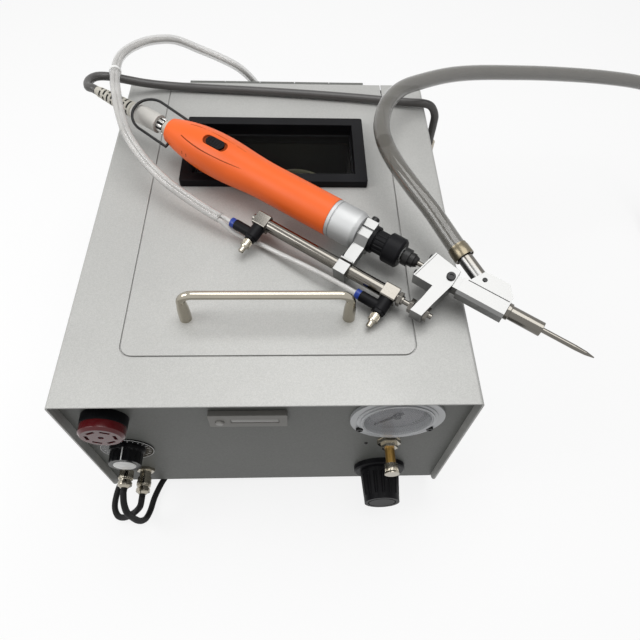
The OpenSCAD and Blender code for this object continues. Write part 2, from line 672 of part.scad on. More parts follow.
module hose_outlet() color("gainsboro") on_back(outlet_x, outlet_z) difference() {
    union() {
        translate([0, 0, -sheet - 14]) cylinder(d = 13, h = sheet + 14);
        hexagon(22, 5);
        translate([0, 0, 5]) cylinder(d = hose_d + 3, h = outlet_l - 5);
    }
    translate([0, 0, -20]) cylinder(r = 4.5, h = outlet_l + 21);
}
module cable_grommets() color("black") {
    on_back(sleeve_gland[0], sleeve_gland[1]) {
        translate([0, 0, -8]) cylinder(d = 13, h = 8);
        hexagon(19, 5);
        translate([0, 0, 5]) cylinder(d1 = 16, d2 = sleeve_tube_d + 3, h = gland_l - 5);
    }
    for (p = cable_holes) on_back(p[0], p[1]) {
        translate([0, 0, -5]) cylinder(d = 10, h = 5);
        cylinder(d = 14, h = 2);
        translate([0, 0, 2]) cylinder(d1 = 11, d2 = cable_d + 2, h = grommet_l - 2);
    }
}
module side_fitting() color("gainsboro") translate([cab_w / 2, side_y, side_z]) {
    rotate([0, 90, 0]) translate([0, 0, -12]) cylinder(d = 10, h = 12 + side_out);
    rotate([0, 90, 0]) hexagon(16, 5);
    translate([side_out, 0, 0]) sphere(d = 12);
    translate([side_out, 0, 0]) cylinder(d = 12, h = side_up);
}

// The shell's radius along its axis: an arc up to the palm swell, a wave down to the waist, then straight
function shell_at(s) =
    s < bulge_s ? shell_r - tail_arc + sqrt(tail_arc * tail_arc - (bulge_s - s) * (bulge_s - s)) :
    s < waist_s ? shell_front_r + front_drop * (1 + cos(180 * (s - bulge_s) / (waist_s - bulge_s))) / 2 :
    shell_front_r;
module shell_outline(t) {
    steps = 44;
    first = shell_start + t;
    last = shell_end + (t > 0 ? past : 0);
    polygon(concat([[0, first]],
        [for (k = [0 : steps]) let (s = first + (last - first) * k / steps) [shell_at(s) - t, s]],
        [[0, last]]));
}
module shell() {
    difference() {
        along(0) rotate_extrude() shell_outline(0);
        along(0) rotate_extrude() shell_outline(shell_wall);
        along(shell_start - past) cylinder(r = 6, h = shell_wall + 2 * past);
        translate([bail_s, -shell_r, 0]) rotate([-90, 0, 0]) cylinder(r = bail_r + 2 * run, h = 2 * shell_r);
    }
}
module shell_half(up) {
    intersection() {
        shell();
        translate([-past, -shell_r - past, up ? 0 : -shell_r - past])
            cube([shell_end + 2 * past, 2 * shell_r + 2 * past, shell_r + past]);
    }
}
module shell_upper() color("orangered") on_tool() difference() {
    shell_half(true);
    translate([switch_s, 0, shell_r - 1.9]) linear_extrude(5)
        rounded(switch_l + 2 * switch_travel + 2 * gap, switch_w + 2 * gap, switch_w / 2);
}
module shell_lower() color("orangered") on_tool() shell_half(false);
module driver_switch() color("black") on_tool() translate([switch_s, 0, shell_r - 1.9 + run]) {
    linear_extrude(2) rounded(switch_l, switch_w, switch_w / 2 - 0.1);
    for (k = [-2 : 2]) translate([2.6 * k - 0.6, -2.5, 1.8]) cube([1.2, 5, 0.6]);
}
module driver_motor() color("dimgray") on_tool() difference() {
    union() {
        along(motor_start) cylinder(r = 12, h = 120 - motor_start);
        along(motor_start + 1) cylinder(r = 13, h = 3);
        along(119) cylinder(r = 13, h = shell_end - 119);
    }
    along(shell_end - 14) cylinder(r = shaft_r + run, h = 16);
}
module front_ring() color("silver") on_tool() difference() {
    union() {
        along(shell_end) cylinder(d = ring_front_d, h = 22);
        along(shell_end + 22)
            cylinder(d1 = ring_front_d, d2 = ring_front_d - 4, h = ring_end - shell_end - 22);
        along(ring_end) cylinder(r = nose_r, h = clamp_t);
        along(clamp_end) cylinder(r = hub_r, h = torque_end - clamp_end);
    }
    along(shell_end - past) cylinder(r = shaft_r + run, h = torque_end - shell_end + 2 * past);
    along(shell_end + 3) tube(ring_front_d / 2 + past, ring_front_d / 2 - 0.6, 0.8);
}
module torque_ring() color("black") on_tool() difference() {
    union() {
        along(clamp_end + gap) cylinder(r = torque_r, h = 3);
        along(clamp_end + gap) cylinder(r = torque_neck_r, h = torque_end - clamp_end - collar_l);
        along(torque_end - collar_l) cylinder(r1 = collar_r - 1, r2 = collar_r, h = 1);
        along(torque_end - collar_l + 1) cylinder(r = collar_r, h = collar_l - 2.5 - gap);
        along(torque_end - 1.5 - gap) cylinder(r1 = collar_r, r2 = collar_r - 1.5, h = 1.5);
    }
    along(clamp_end) cylinder(r = hub_r + run, h = torque_end - clamp_end);
    for (k = [0 : 15]) rotate([22.5 * k, 0, 0]) along(clamp_end + 4, 0, torque_neck_r + 0.5)
        cylinder(r = 1, h = torque_end - collar_l - clamp_end - 4.5, $fn = 16);
}
module driver_plug() color("lightgray") on_tool() {
    along(plug_front) cylinder(r = connector_r, h = shell_start - plug_front);
    along(shell_start) cylinder(r = 6, h = shell_wall);
    along(plug_back) cylinder(r = plug_r, h = plug_front - plug_back);
    along(boot_back) cylinder(r1 = boot_end_r - 0.6, r2 = plug_r - 1.3, h = plug_back - boot_back);
    for (k = [0 : 8]) along(boot_back + 5 * k + 3)
        cylinder(r1 = boot_end_r + 0.3 * k, r2 = boot_end_r + 0.3 * k + 0.2, h = 3);
}
module hanging_bail() color("black") on_tool() translate([bail_s, 0, 0]) rotate([0, bail_tilt, 0]) {
    for (y = [-1, 1]) {
        translate([-bail_run, y * bail_y, 0]) rotate([0, 90, 0]) cylinder(r = bail_r, h = bail_run);
        translate([0, y * bail_y, 0]) sphere(r = bail_r);
        translate([0, y * bail_y, 0]) rotate([y * 90, 0, 0]) cylinder(r = bail_r, h = 5);
    }
    translate([-bail_run, 0, 0]) rotate([0, 0, 90]) rotate_extrude(angle = 180)
        translate([bail_y, 0]) circle(bail_r);
}
module clamp_bracket() color("silver") on_tool() difference() {
    translate([ring_end, 0, 0]) rotate([90, 0, 90]) linear_extrude(clamp_t)
        polygon([[10, 9], [-6, 9], [-12, 3.5], [5 - axis_gap, 3.5], [5 - axis_gap, 8], [-8 - axis_gap, 8],
            [-8 - axis_gap, -8], [7 - axis_gap, -8], [11 - axis_gap, -4.5], [-11, -4.5], [-11, -9.5],
            [10, -9.5]]);
    along(ring_end - past) cylinder(r = nose_r, h = clamp_t + 2 * past);
    along(ring_end - past, cyl_y) cylinder(d = cyl_d, h = clamp_t + 2 * past);
    translate([ring_end - past, 1, nose_r - 2]) cube([clamp_t + 2 * past, 1.4, 9]);
    translate([ring_end - past, cyl_y + 2, 2]) cube([clamp_t + 2 * past, 1.4, 9]);
}
module air_cylinder() color("silver") on_tool() difference() {
    union() {
        for (s = [rear_head, front_head]) along(s + head_l2 / 2, cyl_y) translate([0, 0, -head_l2 / 2])
            linear_extrude(head_l2) rounded(head_side, head_side, 1.5);
        along(rear_head + 1, cyl_y) cylinder(d = cyl_d, h = front_head - rear_head);
        along(front_head + head_l2, cyl_y) cylinder(r = 3.6, h = 5.5);
        along(front_head + head_l2 + 1, cyl_y) hexagon(nut_w, 3);
        along(rear_head - 3, cyl_y) cylinder(r = 3.2, h = 4);
    }
    along(rear_head + head_l2, cyl_y) cylinder(r = cyl_bore_r, h = front_head - rear_head - head_l2);
    along(front_head - past, cyl_y) cylinder(d = rod_d + 2 * run, h = head_l2 + 8);
}
module piston_rod() color("gainsboro") on_tool() {
    along(piston_s, cyl_y) cylinder(r = cyl_bore_r - run, h = piston_l);
    along(piston_s + 1, cyl_y) cylinder(d = rod_d, h = arm_s + arm_l + 5 - piston_s);
    along(arm_s - 3.2, cyl_y) hexagon(nut_w, 3.2);
    along(arm_s + arm_l, cyl_y) hexagon(nut_w, 3.2);
}
module slide_block() color("silver") on_tool() difference() {
    translate([0, 0, -7]) linear_extrude(14.5)
        polygon([[block_start, -13.5], [block_start + 5.5, 11.5], [head_start, 7], [head_start, -6],
            [arm_s + arm_l, 7 - axis_gap], [arm_s + arm_l, -axis_gap - 6], [arm_s, -axis_gap - 6],
            [arm_s, 7 - axis_gap], [arm_s + 4, -14]]);
    along(block_start - past) cylinder(r = bit_bore_r, h = block_l + 2 * past);
    along(arm_s - past, cyl_y) cylinder(d = rod_d, h = arm_l + 2 * past);
}
module spigot(r, from, to) {
    translate([spigot_at[0], spigot_at[1], -0.8]) rotate([0, 0, 180 - spigot_turn]) along(from)
        cylinder(r = r, h = to - from);
}
module feed_head() color("silver") on_tool() difference() {
    union() {
        translate([head_start, -6.5, -5.5]) cube([head_neck_l + past, 10, 11.5]);
        translate([head_start + head_neck_l, 0, 0]) rotate([90, 0, 90]) linear_extrude(head_l - head_neck_l)
            polygon([[-9.5, -4], [-7, -7], [4.5, -7], [4.5, 7.5], [-7.2, 7.5], [-9.5, 5.2]]);
        translate([head_start, 0, -7]) linear_extrude(13)
            polygon([[7.5, 3], [15.2, 17], [35, 17], [head_l, 8], [head_l, 3]]);
        spigot(spigot_d / 2, -2, spigot_l);
    }
    along(head_start - past) cylinder(r = bit_bore_r + 0.8, h = head_l + 2 * past);
    spigot(spigot_d / 2 - 1.4, -19, spigot_l + past);
}
module bit_sleeve() color("gainsboro") on_tool() difference() {
    union() {
        along(sleeve_start) cylinder(r = 6.5, h = 3);
        along(sleeve_start) cylinder(d = sleeve_d, h = sleeve_l);
    }
    along(sleeve_start - past) cylinder(r = bit_bore_r + 0.8, h = sleeve_l + 2 * past);
}
module bit_chuck() color("black") on_tool() difference() {
    union() {
        along(shell_end - 12) cylinder(r = shaft_r, h = chuck_start - shell_end + 13);
        along(chuck_start) cylinder(r = chuck_r, h = 5);
        along(chuck_start + 5) cylinder(r = chuck_r - 1.4, h = 4);
        along(chuck_start + 9) cylinder(r1 = chuck_r - 2, r2 = chuck_r - 3.2, h = chuck_l - 9);
    }
    along(bit_seat) cylinder(d = bit_d, h = chuck_l);
}
module screwdriver_bit() color("gainsboro") on_tool() {
    along(bit_seat) cylinder(d = bit_d, h = bit_end - 14 - bit_seat);
    along(bit_end - 14) cylinder(d1 = bit_d, d2 = bit_d - 0.8, h = 8);
    along(bit_end - 6) cylinder(d1 = bit_d - 0.8, d2 = 0.8, h = 6);
}
module controller(s) {
    lock = banjo_start + banjo_l;
    difference() {
        union() {
            outward(s, banjo_start) cylinder(r = banjo_r, h = banjo_l);
            along(s - port_l, -port_out) cylinder(r = port_r, h = port_l);
            along(s - port_l - ring_l, -port_out) cylinder(r = port_r - 0.5, h = ring_l + 1);
            outward(s, lock) hexagon(9, lock_l);
        }
        outward(s, banjo_start + 4) cylinder(r = screw_r + run, h = banjo_l + lock_l);
    }
}
module adjuster(s) {
    lock = banjo_start + banjo_l + lock_l;
    outward(s, banjo_start + 5) cylinder(r = screw_r, h = lock - banjo_start - 4);
    outward(s, lock + gap) cylinder(r = adjuster_r, h = adjuster_l - 2);
    outward(s, lock + gap + adjuster_l - 2) cylinder(r1 = adjuster_r, r2 = adjuster_r - 0.8, h = 2);
}
module speed_controllers() color("dimgray") on_tool()
    for (s = [rear_head, front_head]) controller(s + head_l2 / 2);
module rear_adjuster() color("goldenrod") on_tool() adjuster(rear_head + head_l2 / 2);
module front_adjuster() color("goldenrod") on_tool() adjuster(front_head + head_l2 / 2);

// Routes of the cords, in the cabinet's own frame
sleeve_end = [99, -48.1, 0.6];
sleeve_route = concat([for (k = [gap, 4, 8]) [sleeve_gland[0], back_y + gland_l + k, sleeve_gland[1]]],
    [[-14, 210, 122], [-15, 219, 131], [-19, 223, 148], [-27, 221, 168], [-41, 217, 187], [-60, 219, 197],
    [-82, 222, 205], [-106, 220, 216], [-127, 204, 224], [-141, 185, 228], [-147, 163, 232], [-146, 139, 236],
    [-142, 115, 239.5], [-136, 91, 241], [-129.5, 68, 238.5], [-121, 47, 232], [-106, 28, 222],
    [-88, 10.5, 216], [-70, -3, 211.5]], [for (k = [12, 6, 0]) tool_pt(sleeve_end - [k, 0, 0])]);
rear_port = rear_head + head_l2 / 2 - port_l - ring_l;
front_port = front_head + head_l2 / 2 - port_l - ring_l;
rear_tube_route = [for (p = [sleeve_end + [gap, 2.1, 0], sleeve_end + [3, 2.1, 0],
    [rear_port - 5, -port_out, 0.2], [rear_port - gap, -port_out, 0]]) tool_pt(p)];
front_tube_route = [for (p = [sleeve_end + [gap, -2.1, 0], sleeve_end + [3, -2.2, -0.4], [108, -50.5, -3.8],
    [116, -50.3, -7.2], [126, -49, -8.4], [137, -47.5, -8.4], [155, -47, -6.5], [180, -46.3, -3],
    [203, -46, -0.6], [218, -port_out, 0], [front_port - gap, -port_out, 0]]) tool_pt(p)];
cord_route = concat([for (k = [gap, 3, 6]) tool_pt([boot_back - k, 0, 0])],
    [[-173.5, 129, 222.5], [-175.5, 140, 221], [-171, 150, 219], [-160, 155.5, 215.5], [-146, 159, 210],
    [-130, 163, 204], [-110, 167, 199], [-77, 166, 197.5], [-27, 163, 197.5], [24, 159, 197.5],
    [74, 154, 197.6], [110, 149, 198], [133, 146, 198.3], [147, 144.3, 198.6], [156, 143.2, 195.6],
    [161.3, 142.3, 186], [cab_w / 2 + side_out, side_y, 175]],
    [for (k = [12, 6, gap]) [cab_w / 2 + side_out, side_y, side_z + side_up + k]]);
spigot_way = [-cos(spigot_turn), sin(spigot_turn), 0];
spigot_mouth = [spigot_at[0], spigot_at[1], -0.8] + spigot_l * spigot_way;
hose_split = 6;
// The hose goes out of the photo's view and is put away in an open loop that ends in its connector
loop_r = 76;
loop_at = [561, 122, hose_d / 2 + 0.2];
hose_route = concat([for (k = [gap, 8, 16]) tool_pt(spigot_mouth + k * spigot_way)],
    [[126, -30, 226], [113, -8, 230], [101, 17, 233], [94, 41, 235], [94, 66, 235], [102, 95, 233],
    [118, 121, 230], [142, 140, 226], [171, 158, 221], [202, 172, 215], [242, 184, 208], [290, 196, 200],
    [352, 207, 190], [405, 213, 180], [434, 216, 168], [461, 217, 146], [477, 214, 115], [484, 206, 81],
    [486, 191, 48], [486, 170, 23], [485, 146, 10]],
    [for (a = [180 : 30 : 450]) loop_at + loop_r * [cos(a), sin(a), 0]]);
hose_tip = [[0, hose_d - 4], [4, hose_d - 4], [4, hose_d - 0.5], [13, hose_d - 0.5], [13, hose_d - 4],
    [30, hose_d - 4]];
plug_end = panel_y - socket_out - plug_l;
cable_end = back_y + grommet_l;
left_cable_route = concat([for (k = [gap, 2, 4]) [socket_spots[1][0], plug_end - k, socket_spots[1][1]]],
    [[-118.5, -206.5, 39], [-124, -208.5, 30], [-131, -209, 20], [-139, -209, 10.5],
    [-147, -206, 5], [-152, -197, 3], [-152, -184, 3], [-149, -168, 3], [-146, -145, 3], [-145, -80, 3],
    [-145, 0, 3], [-145, 80, 3], [-143, 140, 3], [-136, 180, 3], [-127, 205, 5], [-120, 220, 14],
    [-118, 223, 29], [-118, 214, 41]],
    [for (k = [10, 5, gap]) [cable_holes[0][0], cable_end + k, cable_holes[0][1]]]);
right_cable_route = concat([for (k = [gap, 2, 4]) [socket_spots[0][0], plug_end - k, socket_spots[0][1]]],
    [[-127.5, -209, 57], [-126.5, -214, 48], [-125, -215, 35], [-122.5, -214.5, 20],
    [-120, -210, 9], [-118, -201, 4], [-116, -189, 3], [-111, -175, 3], [-103, -160, 3], [-98, -140, 3],
    [-97, -80, 3], [-97, 0, 3], [-97, 80, 3], [-97, 140, 3], [-98, 185, 3], [-99, 207, 5], [-100, 221, 14],
    [-100, 223, 29], [-100, 214, 41]],
    [for (k = [10, 5, gap]) [cable_holes[1][0], cable_end + k, cable_holes[1][1]]]);
module air_sleeve() color("lightgray", 0.5) at_cabinet() cord(sleeve_route, sleeve_tube_d, 2, 10);
module rear_air_tube() color("whitesmoke", 0.5) at_cabinet() cord(rear_tube_route, tube_d, 3, 8);
module front_air_tube() color("whitesmoke", 0.5) at_cabinet() cord(front_tube_route, tube_d, 2, 8);
module driver_cord() color("dimgray") at_cabinet() cord(cord_route, cord_d, 2, 10);
module screw_hose() color("darkgray", 0.5) at_cabinet()
    cord(hose_route, hose_d, 2, 12, hose_split, -1, hose_tip);
module nose_hose() color("darkgray", 0.5) at_cabinet() cord(hose_route, hose_d, 2, 12, 0, hose_split);
module left_cable() color("black") at_cabinet() cord(left_cable_route, cable_d, 2, 8);
module right_cable() color("black") at_cabinet() cord(right_cable_route, cable_d, 2, 8);

at_cabinet() cover();
at_cabinet() chassis();
at_cabinet() lid_hinge();
at_cabinet() feet();
at_cabinet() lid();
at_cabinet() window_frame();
at_cabinet() window_pane();
at_cabinet() handle();
at_cabinet() buzzer_base();
at_cabinet() buzzer_lens();
at_cabinet() speed_scale();
at_cabinet() speed_knob();
at_cabinet() counter_case();
at_cabinet() counter_button();
at_cabinet() gauge_case();
at_cabinet() gauge_lens();
at_cabinet() gauge_needle();
at_cabinet() valve_body();
at_cabinet() valve_knob();
at_cabinet() regulator_body();
at_cabinet() regulator_knob();
at_cabinet() cable_sockets();
at_cabinet() cable_plugs();
at_cabinet() screw_bin();
at_cabinet() feed_bowl();
at_cabinet() bowl_motor();
at_cabinet() escapement();
at_cabinet() control_unit();
at_cabinet() power_inlet();
at_cabinet() power_rocker();
at_cabinet() hose_outlet();
at_cabinet() cable_grommets();
at_cabinet() side_fitting();
shell_upper();
shell_lower();
driver_motor();
front_ring();
torque_ring();
driver_switch();
driver_plug();
hanging_bail();
clamp_bracket();
air_cylinder();
speed_controllers();
rear_adjuster();
front_adjuster();
bit_chuck();
screwdriver_bit();
piston_rod();
slide_block();
feed_head();
bit_sleeve();
air_sleeve();
rear_air_tube();
front_air_tube();
driver_cord();
screw_hose();
nose_hose();
left_cable();
right_cable();
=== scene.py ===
"""Finishes, fittings and cords of a bench screw feeder with its hand tool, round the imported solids."""

import json
import math

import bpy
from bpy.props import FloatProperty, FloatVectorProperty, IntProperty, PointerProperty
from mathutils import Matrix, Vector

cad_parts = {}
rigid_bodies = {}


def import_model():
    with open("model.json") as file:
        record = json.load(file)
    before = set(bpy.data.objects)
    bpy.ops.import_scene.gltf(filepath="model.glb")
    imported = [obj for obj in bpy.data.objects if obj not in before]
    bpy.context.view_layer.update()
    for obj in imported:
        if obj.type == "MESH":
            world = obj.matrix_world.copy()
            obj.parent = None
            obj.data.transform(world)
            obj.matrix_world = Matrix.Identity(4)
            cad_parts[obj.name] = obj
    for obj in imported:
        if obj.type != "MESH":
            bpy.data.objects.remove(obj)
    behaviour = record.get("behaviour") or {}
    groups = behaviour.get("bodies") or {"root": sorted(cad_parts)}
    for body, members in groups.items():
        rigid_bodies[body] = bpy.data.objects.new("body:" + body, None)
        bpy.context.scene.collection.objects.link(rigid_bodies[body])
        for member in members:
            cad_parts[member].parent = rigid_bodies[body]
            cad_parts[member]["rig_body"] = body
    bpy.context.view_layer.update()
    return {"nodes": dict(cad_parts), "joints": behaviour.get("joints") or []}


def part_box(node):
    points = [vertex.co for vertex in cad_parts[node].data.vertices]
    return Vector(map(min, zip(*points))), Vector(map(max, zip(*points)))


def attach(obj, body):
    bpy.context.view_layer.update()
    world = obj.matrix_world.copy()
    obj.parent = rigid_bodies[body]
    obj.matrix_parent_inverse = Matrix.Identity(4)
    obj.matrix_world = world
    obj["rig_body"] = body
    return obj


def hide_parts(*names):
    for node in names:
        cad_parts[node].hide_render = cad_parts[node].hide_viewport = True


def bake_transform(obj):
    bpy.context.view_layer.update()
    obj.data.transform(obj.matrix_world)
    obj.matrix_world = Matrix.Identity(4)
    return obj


bl_info = {
    "name": "Automatic screwdriving machine",
    "version": (1, 0, 0),
    "blender": (4, 5, 0),
    "location": "View3D > Sidebar > Screw feeder",
    "description": "Finishes, fittings and cords of a bench screw feeder with its hand tool",
    "category": "Object",
}

MM = 0.001
X_WAY, Y_WAY, Z_WAY = (Vector(way) for way in ((1, 0, 0), (0, 1, 0), (0, 0, 1)))
SMOOTH, ROUND_SMOOTH = math.radians(35), math.radians(50)
MARKS_STRETCH = (1, 1, 14)
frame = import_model()
NODES = frame["nodes"]
JOINTS = {joint["name"]: joint for joint in frame["joints"]}

# The cabinet's own frame, in which the routes and the camera are given in millimetres
COVER_LOW, COVER_HIGH = (Vector(corner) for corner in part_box("cover"))
CABINET = Vector(((COVER_LOW.x + COVER_HIGH.x) / 2, (COVER_LOW.y + COVER_HIGH.y) / 2, 0))
TOP = COVER_HIGH.z
BACK = COVER_HIGH.y
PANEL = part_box("chassis")[0][1]

# The hand tool's own frame: s along its axis from the tail, y away from the air cylinder, z up off the lid
BAIL_PIN = 14
TOOL_S = Vector(JOINTS["nose_slide"]["axis"])
TOOL_Y = Vector(JOINTS["bail_swing"]["axis"])
TOOL_Z = TOOL_S.cross(TOOL_Y)
TOOL_TAIL = Vector(JOINTS["bail_swing"]["pos_m"]) - BAIL_PIN * MM * TOOL_S


def on_cabinet(point):
    """A point of the cabinet's frame, in millimetres, as a place in metres."""
    return CABINET + Vector(point) * MM


def on_tool(s, y=0.0, z=0.0):
    """A point of the tool's frame, in millimetres, as a place in metres."""
    return TOOL_TAIL + (s * TOOL_S + y * TOOL_Y + z * TOOL_Z) * MM


def frame_of(place, right, up):
    """A matrix whose local X is right and whose local Z is up, at a place."""
    up = up.normalized()
    right = (right - right.dot(up) * up).normalized()
    turn = Matrix((right, up.cross(right), up)).transposed().to_4x4()
    return Matrix.Translation(place) @ turn


def tool_frame(s, y=0.0, z=0.0, up="top"):
    """A frame on the tool, whose Z goes off the lid (top), forward (along), back, or out to either side."""
    ways = {"top": TOOL_Z, "along": TOOL_S, "back": -TOOL_S, "left": -TOOL_Y, "right": TOOL_Y}
    across = TOOL_Z if up in ("along", "back") else TOOL_S
    return frame_of(on_tool(s, y, z), across, ways[up])


def panel_frame(x, z):
    """A frame on the front panel, with Z towards the front."""
    return frame_of(Vector((CABINET.x + x * MM, PANEL, z * MM)), X_WAY, -Y_WAY)


def move(x, y=0.0, z=0.0):
    """A shift in millimetres."""
    return Matrix.Translation((x * MM, y * MM, z * MM))


def colour(name, note, value):
    return FloatVectorProperty(name=name, description=note, subtype="COLOR", size=4, default=value + (1,))


class FinishSettings(bpy.types.PropertyGroup):
    """Colours of the machine's finishes."""

    paint: colour("Cabinet paint", "Textured silver-grey paint", (0.4, 0.4, 0.386))
    orange: colour("Driver shell", "Orange plastic", (0.78, 0.122, 0.017))
    lens: colour("Buzzer lens", "Red plastic", (0.085, 0.004, 0.006))
    hose: colour("Screw hose", "Smoky clear plastic", (0.1, 0.093, 0.078))
    cord: colour("Driver cord", "Grey cord sheath", (0.062, 0.059, 0.057))
    release: colour("Release rings", "Blue plastic", (0.008, 0.035, 0.25))


class DetailSettings(bpy.types.PropertyGroup):
    """Sizes of the small fittings."""

    edge: FloatProperty(name="Eased edge", description="Width of the small bevels on metal edges", unit="LENGTH",
                        default=0.35 * MM, min=0.1 * MM, max=1 * MM)
    screw_head: FloatProperty(name="Cap screw head", description="Radius of the tool's cap screw heads",
                              unit="LENGTH", default=3.2 * MM, min=2 * MM, max=4 * MM)
    tube_sides: IntProperty(name="Cord sides", description="Faces round a cord", default=20, min=8, max=32)


def finish():
    return bpy.context.scene.feeder_finish


def detail():
    return bpy.context.scene.feeder_detail


# Materials

def new_material(name):
    """A material with its shader, and its object coordinates."""
    material = bpy.data.materials.new(name)
    material.use_nodes = True
    nodes = material.node_tree.nodes
    return material, nodes["Principled BSDF"], nodes.new("ShaderNodeTexCoord").outputs["Object"]


def feed(node, socket, value):
    """Links a value into a socket."""
    node.id_data.links.new(value, node.inputs[socket])


def fix(node, values):
    """Sets constant values on a node's sockets."""
    for socket, value in values.items():
        node.inputs[socket].default_value = value


def noise(material, coords, scale, depth=2.0):
    node = material.node_tree.nodes.new("ShaderNodeTexNoise")
    fix(node, {"Scale": scale, "Detail": depth})
    feed(node, "Vector", coords)
    return node.outputs["Fac"]


def ramp(material, value, low, high, first, second):
    """Two colours across a span of a value."""
    node = material.node_tree.nodes.new("ShaderNodeValToRGB")
    for element, place, colour_there in zip(node.color_ramp.elements, (low, high), (first, second)):
        element.position = place
        element.color = colour_there
    feed(node, "Fac", value)
    return node.outputs["Color"]


def span(material, value, low, high):
    """A value from 0 to 1 carried to a span."""
    node = material.node_tree.nodes.new("ShaderNodeMapRange")
    fix(node, {"To Min": low, "To Max": high})
    feed(node, "Value", value)
    return node.outputs["Result"]


def bump(material, shader, height, strength, distance):
    node = material.node_tree.nodes.new("ShaderNodeBump")
    fix(node, {"Strength": strength, "Distance": distance})
    feed(node, "Height", height)
    feed(shader, "Normal", node.outputs["Normal"])


def shade(base, factor):
    return tuple(channel * factor for channel in base[:3]) + (1,)


def grained(name, base, rough=0.45, metal=0.0, grain=900.0, depth=0.05, spread=0.12, coat=0.0, wide=35.0, gloss=0.5):
    """A solid finish with fine grain, a little cloudiness and an uneven gloss."""
    material, shader, coords = new_material(name)
    cloud = noise(material, coords, wide, 3.0)
    feed(shader, "Base Color", ramp(material, cloud, 0.3, 0.7, shade(base, 1 - spread), shade(base, 1 + spread)))
    feed(shader, "Roughness", span(material, cloud, rough - 0.06, rough + 0.06))
    fix(shader, {"Metallic": metal, "Coat Weight": coat, "Specular IOR Level": gloss})
    bump(material, shader, noise(material, coords, grain), 0.5, depth * MM)
    return material


def textured_paint(name, base, speck=1.0, metal=0.25):
    """Silver-grey paint with an orange-peel surface and fine bright and dark specks."""
    material, shader, coords = new_material(name)
    mix = material.node_tree.nodes.new("ShaderNodeMix")
    mix.data_type = "RGBA"
    mix.blend_type = "MULTIPLY"
    fix(mix, {"Factor": 1.0})
    feed(mix, "A", ramp(material, noise(material, coords, 9.0, 3.0), 0.3, 0.7, shade(base, 0.94), shade(base, 1.06)))
    feed(mix, "B", ramp(material, noise(material, coords, 1500.0, 1.0), 0.33, 0.67,
                        shade((1, 1, 1), 1 - 0.17 * speck), shade((1, 1, 1), 1 + 0.17 * speck)))
    feed(shader, "Base Color", mix.outputs["Result"])
    feed(shader, "Roughness", span(material, noise(material, coords, 700.0), 0.42, 0.62))
    fix(shader, {"Metallic": metal})
    bump(material, shader, noise(material, coords, 650.0), 0.35, 0.12 * MM)
    return material


def brushed(name, base, rough=0.3, strength=0.25):
    """Metal with fine parallel tool marks."""
    material, shader, coords = new_material(name)
    mapping = material.node_tree.nodes.new("ShaderNodeMapping")
    fix(mapping, {"Scale": MARKS_STRETCH})
    feed(mapping, "Vector", coords)
    marks = noise(material, mapping.outputs["Vector"], 900.0)
    feed(shader, "Base Color", ramp(material, marks, 0.3, 0.7, shade(base, 0.88), shade(base, 1.05)))
    feed(shader, "Roughness", span(material, marks, rough - 0.08, rough + 0.1))
    fix(shader, {"Metallic": 1.0})
    bump(material, shader, marks, strength, 0.02 * MM)
    return material


def clear_plastic(name, base, rough, alpha, gloss=0.5, waves=0.0):
    """See-through plastic: thin, so it is shown by its alpha and its gloss, with waves in a soft tube's wall."""
    material, shader, coords = new_material(name)
    cloud = noise(material, coords, 60.0)
    feed(shader, "Base Color", ramp(material, cloud, 0.3, 0.7, shade(base, 0.92), shade(base, 1.08)))
    feed(shader, "Roughness", span(material, noise(material, coords, 300.0), rough - 0.03, rough + 0.03))
    fix(shader, {"Alpha": alpha, "IOR": 1.45, "Specular IOR Level": gloss, "Coat Weight": gloss})
    if waves:
        bump(material, shader, noise(material, coords, 140.0), waves, 0.6 * MM)
    return material


